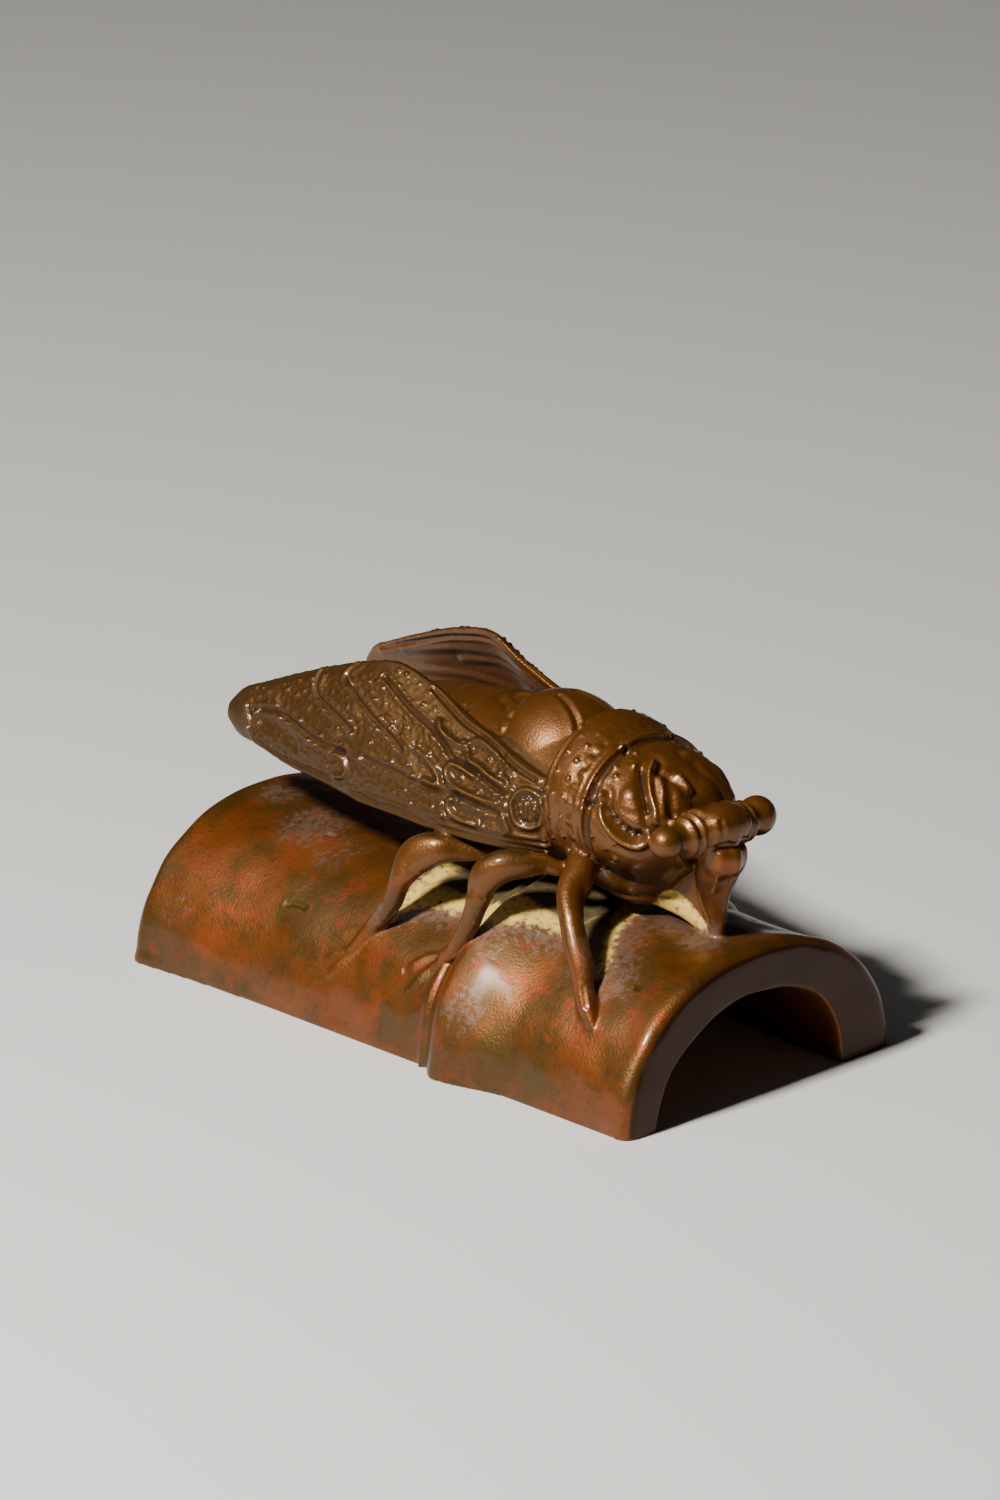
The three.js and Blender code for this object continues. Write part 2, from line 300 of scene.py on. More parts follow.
@dataclass(frozen=True)
class Tool:
    """What one pass of a chisel or punch leaves across its line, in millimetres."""

    height: float  # of the middle: up for a ridge, down for a groove
    half_width: float
    shoulder: float = 0.0  # height of the metal raised or sunk on both sides
    reach: float = 0.0  # how far out the shoulders lie
    FADE = 2.3  # half widths out to where the cut dies away

    @property
    def span(self) -> float:
        """How far out the tool changes the metal."""
        return self.reach + self.FADE * self.half_width

    def cut(self, away: np.ndarray) -> np.ndarray:
        """The height it leaves at these distances from its line.

        Args:
            away: Distances in millimetres.

        Returns:
            One height for each distance.
        """
        middle = self.height * np.exp(-((away / self.half_width) ** 2))
        side = self.shoulder * np.exp(-(((away - self.reach) / self.half_width) ** 2))
        return middle + side


class Chisel(Enum):
    """The tools that the relief is worked with."""

    VEIN = Tool(-0.26, 0.26, 0.17, 0.68)
    CELL_RIM = Tool(0.42, 0.34, -0.16, 0.85)
    CELL_FLOOR = Tool(-0.24, 0.95)
    WORM = Tool(0.55, 0.45, -0.12, 1.0)
    KNOB = Tool(0.42, 0.38)
    LONG_LINE = Tool(-0.22, 0.24, 0.14, 0.6)
    SEAM = Tool(-0.45, 0.3, 0.12, 0.75)
    PLATE = Tool(0.3, 0.5, -0.3, 1.05)
    FACE_RIDGE = Tool(0.85, 0.58, -0.32, 1.3)
    DEEP = Tool(-0.75, 0.42)
    POCKET = Tool(-0.95, 0.75)
    COLLAR_LINE = Tool(0.3, 0.28, -0.22, 0.7)
    STREAK = Tool(0.12, 0.5, -0.08, 1.1)
    NICK = Tool(-0.35, 0.4, 0.1, 0.8)
    TOE = Tool(0.18, 0.5, -0.04, 1.1)
    FACET = Tool(0.4, 0.7)


class Skin:
    """The fused skin as arrays, and the relief that is worked into it."""

    DEPTH = 1.3  # how far a tool reaches below or above the line it is drawn on
    LINE_MARGIN = 0.6
    BEAD_MARGIN = 0.3
    BEAD_POWER = 0.8  # of a bead's profile: less is flatter on top
    LEAST_FACING = 0.1
    WAVE_SPREAD = (0.7, 1.4)  # shortest and longest wave, in shares of the usual one

    def __init__(self, piece: bpy.types.Object) -> None:
        """Reads the skin.

        Args:
            piece: The fused object, in millimetres.
        """
        self.piece = piece
        self.co = read_rows(piece.data.vertices, "co").astype(float)
        self.normal = self.read_normals()
        self.lift = np.zeros(len(self.co))
        self.order = np.argsort(self.co[:, 0], kind="stable")
        self.sorted_x = self.co[self.order, 0]

    def read_normals(self) -> np.ndarray:
        """The mesh's own vertex normals."""
        return read_rows(self.piece.data.vertex_normals, "vector").astype(float)

    def within(self, points: np.ndarray, margin: float, facing: np.ndarray) -> np.ndarray:
        """Indices of the vertices about some points that face the given way.

        Args:
            points: Points in millimetres.
            margin: How far round them to look.
            facing: A way of length one.

        Returns:
            The vertices' indices.
        """
        low, high = points.min(axis=0) - margin, points.max(axis=0) + margin
        first, last = np.searchsorted(self.sorted_x, (low[0], high[0]))
        found = self.order[first:last]
        co = self.co[found, 1:]
        found = found[np.all((co > low[1:]) & (co < high[1:]), axis=1)]
        return found[self.normal[found] @ facing > self.LEAST_FACING]

    def away(self, co: np.ndarray, normal: np.ndarray, start: np.ndarray,
             end: np.ndarray) -> np.ndarray:
        """How far points of the skin are from a short line.

        Args:
            co: The points.
            normal: Their normals.
            start: One end of the line.
            end: Its other end, or the same place for a dot.

        Returns:
            Distances along the surface, endless where the line is too far above or below it.
        """
        way = end - start
        share = np.clip((co - start) @ way / max(way @ way, 1e-9), 0, 1)
        gap = co - start - share[:, None] * way
        rise = np.einsum("ij,ij->i", gap, normal)
        away = np.linalg.norm(gap - rise[:, None] * normal, axis=1)
        return np.where(np.abs(rise) < self.DEPTH, away, np.inf)

    def along(self, points: np.ndarray, chisel: Chisel, facing: np.ndarray,
              strength: float = 1.0) -> None:
        """Works one line with a chisel.

        Args:
            points: The line, in millimetres.
            chisel: The tool.
            facing: Roughly where the surface looks there.
            strength: A share of the tool's full depth.
        """
        tool = chisel.value
        found = self.within(points, tool.span + self.LINE_MARGIN, facing)
        co, normal = self.co[found], self.normal[found]
        best = np.full(len(found), np.inf)
        for start, end in zip(points[:-1], points[1:]):
            best = np.minimum(best, self.away(co, normal, start, end))
        inside = best < tool.span
        self.lift[found[inside]] += strength * tool.cut(best[inside])

    def trace(self, places: Sequence[Sequence[float]], chisel: Chisel, facing: np.ndarray,
              strength: float = 1.0) -> None:
        """Works a smooth line through some places with a chisel."""
        self.along(Line(places).every(TRACE_STEP), chisel, facing, strength)

    def bead(self, at: np.ndarray, radius: float, height: float, facing: np.ndarray) -> None:
        """Raises a round bead, or sinks a round pit where the height is negative.

        Args:
            at: Its middle.
            radius: Its radius in millimetres.
            height: Its height, or minus its depth.
            facing: Roughly where the surface looks there.
        """
        found = self.within(at[None], radius + self.BEAD_MARGIN, facing)
        away = self.away(self.co[found], self.normal[found], at, at)
        inside = away < radius
        self.lift[found[inside]] += height * (1 - (away[inside] / radius) ** 2) ** self.BEAD_POWER

    def press(self) -> None:
        """Moves the skin by the relief worked so far."""
        self.co = self.co + self.normal * self.lift[:, None]
        write_places(self.piece, self.co)
        self.normal = self.read_normals()

    def waves(self, found: np.ndarray, grain: float, seed: int, count: int = 18) -> np.ndarray:
        """Smooth noise at some vertices.

        Args:
            found: The vertices' indices.
            grain: The size of its lumps, in millimetres.
            seed: Which noise it is.
            count: How many waves are added up.

        Returns:
            Values about zero, with a spread of about one.
        """
        draw = np.random.default_rng(seed)
        ways = unit(draw.normal(size=(count, 3)))
        lengths = grain * 2 * draw.uniform(*self.WAVE_SPREAD, count)
        phase = draw.uniform(0, TWO_PI, count)
        turn = self.co[found] @ (ways * (TWO_PI / lengths)[:, None]).T + phase
        return np.sin(turn).sum(axis=1) * math.sqrt(2 / count)


@dataclass
class SplitBamboo:
    """Half a culm, open below, with one node towards its front end."""

    length: float = BAMBOO_LENGTH
    half_width: float = 25.0
    height: float = 21.3
    outer_roundness: float = 2.15
    inner_roundness: float = 2.05
    wall_at_feet: float = 6.2
    wall_at_crown: float = 6.9
    end_rounding: float = 2.1
    lip_flare: float = 0.3
    lip_length: float = 6.0
    node_x: float = 9.3
    scar_height: float = 0.8
    scar_half_width: float = 0.5
    swell_height: float = 2.65
    swell_rise: float = 4.4
    swell_fade: float = 13.0
    near_spread: tuple = ((-49.0, 1.6), (-36.0, 0.5), (-22.0, 0.0))
    far_spread: tuple = ((24.0, 0.0), (38.0, 0.7), (49.0, 2.1))
    far_foot: tuple = ((20.0, 0.0), (49.0, 3.4))  # how much thicker the far foot's wall is
    arch_steps: int = 52
    bore_rounding: float = 0.35  # of the bore's ends, as a share of the outer skin's
    corner_steps: int = 6
    plain_rings: tuple = (-45.0, -4.0, 3.5)  # from x, to how far from the node, and spacing
    node_rings: tuple = (-3, 19, 0.4)  # from and to how far from the node, and spacing
    front_rings: tuple = (19.5, -3.0, 1.6)  # from the node, to how far from the end, and spacing
    side_limit: float = 0.999  # of the half width, where the surface can still be found by y
    skin_top: float = 24.5  # nothing of the culm is higher
    sole: tuple = (0.3, 2.5)  # the heights between which the unevenness sets in
    unevenness: tuple = ((9.0, 3, 0.13), (3.2, 4, 0.05))  # lump size, which noise, height
    nicks: tuple = ((-21.4, -19.8, 3.4), (29.0, -1.6, 2.2), (-26.2, -8.5, 0.9))  # x, y, length
    nick_bow: tuple = ((-0.5, 1.0), (0.0, 0.985), (0.5, 0.99))  # shares of length and of y
    nick_strength: float = 0.6
    pits: int = 34
    pit_field: tuple = (46.0, 23.0)  # how far they reach along and across
    pit_sizes: tuple = (0.35, 0.8)
    pit_depth: float = 0.1
    least_pit: float = 0.3  # share of the full depth

    def swelling(self, x: np.ndarray | float) -> np.ndarray:
        """How far the culm stands out at x, from its node and its flared front lip.

        Args:
            x: Places along the culm.

        Returns:
            Millimetres, for each place.
        """
        scar = self.scar_height * np.exp(-(((x - self.node_x) / self.scar_half_width) ** 2))
        ahead = x - self.node_x
        rise = smooth_step(ahead, 0, self.swell_rise)
        fade = 1 - smooth_step(ahead, self.swell_rise, self.swell_rise + self.swell_fade)
        lip = smooth_step(x, self.length / 2 - self.lip_length, self.length / 2)
        return scar + self.swell_height * rise * fade + self.lip_flare * lip

    def arch(self, x: float, half: float, high: float, roundness: float) -> np.ndarray:
        """Half an arch of points at x, from one foot over the crown to the other.

        Args:
            x: The place along the culm.
            half: Half the width between the feet.
            high: The height of the crown.
            roundness: The power of its curve, which is 2 for an ellipse.

        Returns:
            The arch's points.
        """
        turn = np.linspace(0, math.pi, self.arch_steps)
        cos, sin = np.cos(turn), np.maximum(np.sin(turn), 0)
        across = np.sign(cos) * np.abs(cos) ** (2 / roundness)
        rise = sin ** (2 / roundness)
        rise[0] = rise[-1] = 0
        return points_at(x, -half * across, high * rise)

    def ring(self, x: float, inset: float) -> np.ndarray:
        """One C-shaped section, drawn in by the rounding of the ends.

        Args:
            x: The place along the culm.
            inset: How far the outer skin is drawn in there.

        Returns:
            The section's points, out over the crown and back through the bore.
        """
        out = float(self.swelling(x)) - inset
        bore = inset * self.bore_rounding
        outer = self.arch(x, self.half_width + out, self.height + out, self.outer_roundness)
        half = self.half_width - self.wall_at_feet + bore
        high = self.height - self.wall_at_crown + bore
        inner = self.arch(x, half, high, self.inner_roundness)
        inner[:, 1] -= np.interp(x, *zip(*self.far_foot)) * np.maximum(inner[:, 1] / half, 0) ** 2
        ring = np.concatenate([outer, inner[::-1]])
        share = ring[:, 1] / self.half_width
        near = np.interp(x, *zip(*self.near_spread)) * np.minimum(share, 0)
        far = np.interp(x, *zip(*self.far_spread)) * np.maximum(share, 0)
        ring[:, 1] += near + far
        return ring

    def surface(self, x: float, y: float) -> np.ndarray:
        """The point on the outer surface at x and y.

        Args:
            x: The place along the culm.
            y: The place across it.

        Returns:
            The point.
        """
        out = float(self.swelling(x))
        side = min(abs(y) / (self.half_width + out), self.side_limit)
        rise = (1 - side**self.outer_roundness) ** (1 / self.outer_roundness)
        return np.array([x, y, (self.height + out) * rise])

    def half_width_at(self, x: float, z: float) -> float:
        """How far out the outer surface is at x and a height.

        Args:
            x: The place along the culm.
            z: The height.

        Returns:
            Millimetres from the middle plane.
        """
        out = float(self.swelling(x))
        rise = min(max(z / (self.height + out), 0), 1)
        power = self.outer_roundness
        return (self.half_width + out) * (1 - rise**power) ** (1 / power)

    def build(self) -> list[bpy.types.Object]:
        """Draws the culm from its back end to its front end.

        Returns:
            The culm, in a list.
        """
        end = self.length / 2
        turns = np.radians(np.linspace(0, 90, self.corner_steps))
        corner = [
            (end - self.end_rounding * (1 - math.cos(a)), self.end_rounding * (1 - math.sin(a)))
            for a in turns
        ]
        back = [(-x, inset) for x, inset in corner]
        start, stop, step = self.plain_rings
        plain = np.arange(start, self.node_x + stop, step)
        node = self.node_x + np.arange(*self.node_rings)
        start, stop, step = self.front_rings
        front = np.arange(self.node_x + start, end + stop, step)
        middle = [(float(x), 0.0) for x in np.concatenate([plain, node, front])]
        rings = [self.ring(x, inset) for x, inset in [*back, *middle, *reversed(corner)]]
        return [loft("split_bamboo", rings)]

    def dress(self, skin: Skin) -> None:
        """Gives the culm the unevenness of a hand-worked wax, its few nicks and its pits.

        Args:
            skin: The fused skin.
        """
        culm = np.flatnonzero(skin.co[:, 2] < self.skin_top)
        outside = smooth_step(skin.co[culm, 2], *self.sole)
        lumps = [height * skin.waves(culm, size, seed) for size, seed, height in self.unevenness]
        skin.lift[culm] += sum(lumps) * outside
        for x, y, long in self.nicks:
            line = Line([self.surface(x + share * long, y * bow) for share, bow in self.nick_bow])
            facing = np.array([0.0, y / self.half_width, 0.6])
            skin.along(line.every(BROAD_STEP), Chisel.NICK, facing, self.nick_strength)
        draw = np.random.default_rng(12)
        for _ in range(self.pits):
            x, y = (float(draw.uniform(-reach, reach)) for reach in self.pit_field)
            at = self.surface(x, y)
            facing = unit(np.array([0.0, at[1], at[2]]))
            size = float(draw.uniform(*self.pit_sizes))
            skin.bead(at, size, -self.pit_depth * float(draw.uniform(self.least_pit, 1.0)), facing)


@dataclass
class Trunk:
    """The cicada's body: trunk, shield, collar and the dome behind the head."""

    sides: int = 72
    stations: tuple = (
        (-35, 32.6, 2.4, 2.4, 1.6), (-31, 32.8, 5.4, 5.0, 3.2), (-25, 33.0, 8.2, 7.2, 4.8),
        (-17, 33.3, 10.6, 8.9, 6.2), (-9, 33.8, 11.8, 9.6, 7.2), (0, 34.2, 12.0, 10.2, 8.4),
        (10, 34.6, 11.6, 10.4, 9.4), (18, 34.8, 10.8, 9.8, 10.4), (24, 34.8, 10.2, 8.2, 11.7),
        (29, 34.6, 9.4, 6.0, 11.7), (34, 34.4, 6.6, 3.4, 8.8), (38.5, 34.2, 5.0, 2.0, 5.4),
    )
    dome: tuple = (
        (25.8, 34.8, 11.0, 9.2, 9.0), (29.0, 34.8, 11.2, 9.2, 9.4), (31.5, 34.8, 10.9, 8.5, 9.4),
        (34.0, 34.8, 10.1, 7.1, 8.6), (36.2, 34.8, 8.8, 5.4, 7.0), (37.8, 34.8, 7.2, 3.6, 5.2),
        (38.6, 34.8, 5.2, 2.2, 3.4),
    )
    trunk_steps: int = 44
    dome_steps: int = 26
    shield_at: tuple = (11.6, 0.0, 35.7)
    shield_radii: tuple = (11.2, 10.2, 11.7)
    collar_z: float = 35.0
    collar_down: float = 0.9  # its reach down, as a share of its reach up
    collar: tuple = (
        (18.9, 10.2, 9.9), (19.5, 11.3, 11.2), (20.8, 11.8, 11.6), (22.2, 11.9, 11.4),
        (23.4, 11.9, 11.1), (24.6, 11.7, 10.5), (25.4, 11.5, 9.9), (26.0, 11.9, 10.1),
        (26.9, 12.0, 10.1), (27.6, 11.3, 9.4),
    )
    pocket_line: tuple = (
        (30.4, -10.2, 38.2), (32.0, -10.5, 36.9), (33.6, -10.1, 35.6), (35.2, -9.3, 34.7),
        (36.3, -8.6, 34.4),
    )
    pocket_rim: tuple = (
        (29.8, -10.0, 38.9), (30.9, -10.6, 36.6), (32.4, -10.6, 34.9), (34.2, -9.8, 33.6),
        (35.9, -8.8, 33.3), (37.0, -8.2, 34.4),
    )
    groove: tuple = ((32.0, -5.0, 42.0), (34.1, -6.3, 40.2), (35.2, -6.9, 38.9), (36.0, -7.3, 37.8))
    ridges: tuple = (
        ((32.2, -3.1, 42.6), (33.3, -4.7, 41.4), (34.8, -6.0, 39.8), (36.4, -6.7, 37.9),
         (37.0, -7.0, 36.9)),
        ((34.4, -3.9, 41.0), (36.2, -5.1, 39.1), (37.4, -5.9, 37.4), (38.0, -6.2, 36.4)),
    )
    bulges: tuple = (  # where they are, their radius and their height
        ((33.9, -8.1, 39.1), 2.0, 0.42), ((33.2, -7.9, 40.0), 1.6, 0.25),
        ((37.3, -2.9, 38.8), 2.1, 0.45), ((36.4, -3.4, 39.8), 1.7, 0.22),
    )
    far_depth: float = 0.55  # of the carving on the dome's far side
    grain_size: tuple = (0.26, 0.36)
    grain_height: tuple = (0.04, 0.08)
    grain_gap: float = 0.9
    grain_rows: tuple = ((28.6, 35.0, 62.0, 46), (19.8, 27.0, 60.0, 80))
    brow_ridge: tuple = ((35.2, -1.1, 41.0), (36.7, -0.9, 39.6))
    dome_facing: tuple = (0.35, 0.8, 0.5)  # roughly where its carved sides look
    brow_facing: tuple = (0.6, 0.0, 0.8)
    pocket_beads: tuple = (0.25, 0.45, 0.62, 0.8)  # shares of the pocket's line
    pocket_bead: tuple = (0.42, 0.34)  # radius and height
    brow_bead_at: tuple = (37.2, -7.0, 36.1)
    brow_bead: tuple = (0.4, 0.25)
    dome_bead: tuple = (0.42, 0.3)
    dome_beads: tuple = (  # x and degrees
        (29.1, 43), (30.1, 50), (29.5, 22), (31.0, 34), (31.2, 104), (32.6, 100), (32.1, 113),
        (29.4, 75), (29.3, 96),
    )
    bead_rows: tuple = (  # x, degrees apart, radius and height
        (21.6, 15.0, 0.36, 0.3), (23.6, 13.0, 0.42, 0.34), (25.2, 11.0, 0.8, 0.3),
    )
    bead_reach: tuple = (-118, 119)  # degrees
    bead_sway: float = 0.25
    worn_near: tuple = (20, 55)  # the degrees between which worn beads turn full
    worn_far: tuple = (45, 90)
    worn_height: float = 0.3  # share of a full one's
    line_starts: tuple = (-125, -75, -25, 25, 75)  # degrees
    line_gap: float = 12.5
    collar_lines: tuple = (
        (27.35, Chisel.COLLAR_LINE, 1.0), (28.3, Chisel.SEAM, 0.7), (20.0, Chisel.COLLAR_LINE, 0.6),
    )
    back_lines: tuple = (  # x and degrees, on both sides alike
        (((7.9, 17), (7.3, 7)), Chisel.DEEP, 0.8),
        (((12.2, 8), (14.6, 11), (17.6, 19), (19.4, 25)), Chisel.NICK, 1.0),
        (((1.4, 8), (3.4, 12), (5.4, 22), (6.4, 30)), Chisel.PLATE, 1.0),
        (((5.4, 30), (6.6, 40), (7.2, 46)), Chisel.PLATE, 0.8),
    )
    waist_line: tuple = ((-1.2, 34), (-0.8, 12), (-0.8, -12), (-1.2, -34))
    tail_rings: tuple = (-31.5, -2, 4.1)  # from, to and spacing
    tail_starts: tuple = (-150, -90, -30, 30, 90)  # degrees
    tail_gap: float = 15.0
    tail_strength: float = 0.4

    def oval(self, x: float, z: float, half: float, up: float, down: float) -> np.ndarray:
        """A section across the body, with its own reach up and down."""
        cos, sin = circle(self.sides)
        return points_at(x, half * cos, z + np.where(sin > 0, up, down) * sin)

    def bands(self) -> list[tuple[float, ...]]:
        """The collar's stations in full."""
        return [(x, self.collar_z, half, up, up * self.collar_down) for x, half, up in self.collar]

    def build(self) -> list[bpy.types.Object]:
        """Draws the body's forms.

        Returns:
            The new objects.
        """
        trunk = [self.oval(*row) for row in stations(self.stations, self.trunk_steps)]
        dome = [self.oval(*row) for row in stations(self.dome, self.dome_steps)]
        return [
            loft("trunk", trunk),
            loft("dome", dome),
            egg("shield", self.shield_at, self.shield_radii),
            loft("collar", [self.oval(*band) for band in self.bands()]),
        ]

    def round_at(self, x: float, degrees: float) -> tuple[np.ndarray, np.ndarray]:
        """A point on the body at x, so many degrees down from the top on the near side.

        Args:
            x: The place along the body.
            degrees: 0 is the top, 90 the near side and -90 the far side.

        Returns:
            The point, and the way the surface looks there.
        """
        turn = math.radians(degrees)
        facing = np.array([0.0, -math.sin(turn), math.cos(turn)])
        collar_back, collar_front = self.collar[0][0], self.collar[-1][0]
        rows = self.dome if x > collar_front else self.bands() if x > collar_back else self.stations
        table = np.array(rows, float)
        z, half, up, down = smooth_through(table[:, 0], table[:, 1:], np.array([x]))[0]
        part = (x - self.shield_at[0]) / self.shield_radii[0]
        if x <= collar_back and abs(part) < 1:
            squeeze = math.sqrt(1 - part * part)
            if self.shield_at[2] + self.shield_radii[2] * squeeze > z + up:
                z, half = self.shield_at[2], self.shield_radii[1] * squeeze
                up = down = self.shield_radii[2] * squeeze
        reach = up if facing[2] > 0 else down
        scale = 1 / math.sqrt((facing[1] / half) ** 2 + (facing[2] / reach) ** 2)
        return np.array([x, facing[1] * scale, z + facing[2] * scale]), facing

    def carve_round(self, skin: Skin, places: Sequence[tuple[float, float]], chisel: Chisel,
                    strength: float) -> None:
        """Works a line on the body through places given as x and degrees.

        Args:
            skin: The fused skin.
            places: The places, in order.
            chisel: The tool.
            strength: A share of the tool's full depth.
        """
        found = [self.round_at(x, degrees) for x, degrees in places]
        facing = unit(np.mean([facing for _, facing in found], axis=0))
        skin.along(Line([point for point, _ in found]).every(BROAD_STEP), chisel, facing, strength)

    def carve_rings(self, skin: Skin, x: float, starts: Sequence[float], gap: float,
                    chisel: Chisel, strength: float) -> None:
        """Works a line round the body in stretches of four gaps, so each faces its own way.

        Args:
            skin: The fused skin.
            x: The place along the body.
            starts: Where the stretches start, in degrees.
            gap: Degrees from one point of the line to the next.
            chisel: The tool.
            strength: A share of the tool's full depth.
        """
        for start in starts:
            places = [(x, start + k * gap) for k in range(5)]
            self.carve_round(skin, places, chisel, strength)

    def dress(self, skin: Skin) -> None:
        """Carves the body.

        Args:
            skin: The fused skin.
        """
        self.carve_dome(skin)
        self.bead_collar(skin)
        self.grain(skin)
        self.carve_back(skin)

    def carve_dome(self, skin: Skin) -> None:
        """Cuts the leaf-shaped pockets and the curved ridges on both sides of the dome.

        Args:
            skin: The fused skin.
        """
        work = [(self.pocket_line, Chisel.POCKET), (self.pocket_rim, Chisel.FACE_RIDGE),
                (self.groove, Chisel.DEEP), *((ridge, Chisel.FACE_RIDGE) for ridge in self.ridges)]
        for side, depth in ((NEAR_SIDE, 1.0), (FAR_SIDE, self.far_depth)):
            turn = np.array([1.0, -side, 1.0])
            facing = unit(np.array([1.0, side, 1.0]) * self.dome_facing)
            for places, chisel in work:
                skin.trace(turn * places, chisel, facing, depth)
            radius, height = self.pocket_bead
            for at in Line(turn * self.pocket_line).at(np.array(self.pocket_beads)):
                skin.bead(at, radius, height * depth, facing)
            for at, radius, height in self.bulges:
                skin.bead(turn * at, radius, height * depth, facing)
            skin.bead(turn * self.brow_bead_at, *self.brow_bead, facing)
        skin.trace(self.brow_ridge, Chisel.FACE_RIDGE, unit(np.array(self.brow_facing)), 0.7)
        for x, degrees in self.dome_beads:
            for mirror in (1, -1):
                at, facing = self.round_at(x, degrees * mirror)
                skin.bead(at, *self.dome_bead, facing)

    def bead_collar(self, skin: Skin) -> None:
        """Rows of beads round the collar, worn down on top, a roll and the lines beside it.

        Args:
            skin: The fused skin.
        """
        for x, spacing, radius, height in self.bead_rows:
            for degrees in np.arange(*self.bead_reach, spacing):
                at, facing = self.round_at(x + self.bead_sway * math.sin(degrees), float(degrees))
                full = smooth_step(degrees, *self.worn_near) + smooth_step(-degrees, *self.worn_far)
                share = self.worn_height + (1 - self.worn_height) * float(full)
                skin.bead(at, radius, height * share, facing)
        for x, chisel, strength in self.collar_lines:
            self.carve_rings(skin, x, self.line_starts, self.line_gap, chisel, strength)

    def grain(self, skin: Skin) -> None:
        """Scatters fine grains over the top of the dome and the collar.

        Args:
            skin: The fused skin.
        """
        draw = np.random.default_rng(33)
        for low, high, round_to, count in self.grain_rows:
            kept: list[np.ndarray] = []
            for _ in range(count):
                x, degrees = draw.uniform(low, high), draw.uniform(-round_to, round_to)
                at, facing = self.round_at(float(x), float(degrees))
                size = float(draw.uniform(*self.grain_size))
                height = float(draw.uniform(*self.grain_height))
                if kept and np.min(np.linalg.norm(np.array(kept) - at, axis=1)) < self.grain_gap:
                    continue
                kept.append(at)
                skin.bead(at, size, height, facing)

    def carve_back(self, skin: Skin) -> None:
        """The slots and notches on the shield, the plates behind it and the tail's rings.

        Args:
            skin: The fused skin.
        """
        for places, chisel, strength in self.back_lines:
            for mirror in (1, -1):
                mirrored = [(x, mirror * degrees) for x, degrees in places]
                self.carve_round(skin, mirrored, chisel, strength)
        self.carve_round(skin, self.waist_line, Chisel.SEAM, 1.0)
        for x in np.arange(*self.tail_rings):
            self.carve_rings(skin, float(x), self.tail_starts, self.tail_gap, Chisel.SEAM,
                             self.tail_strength)


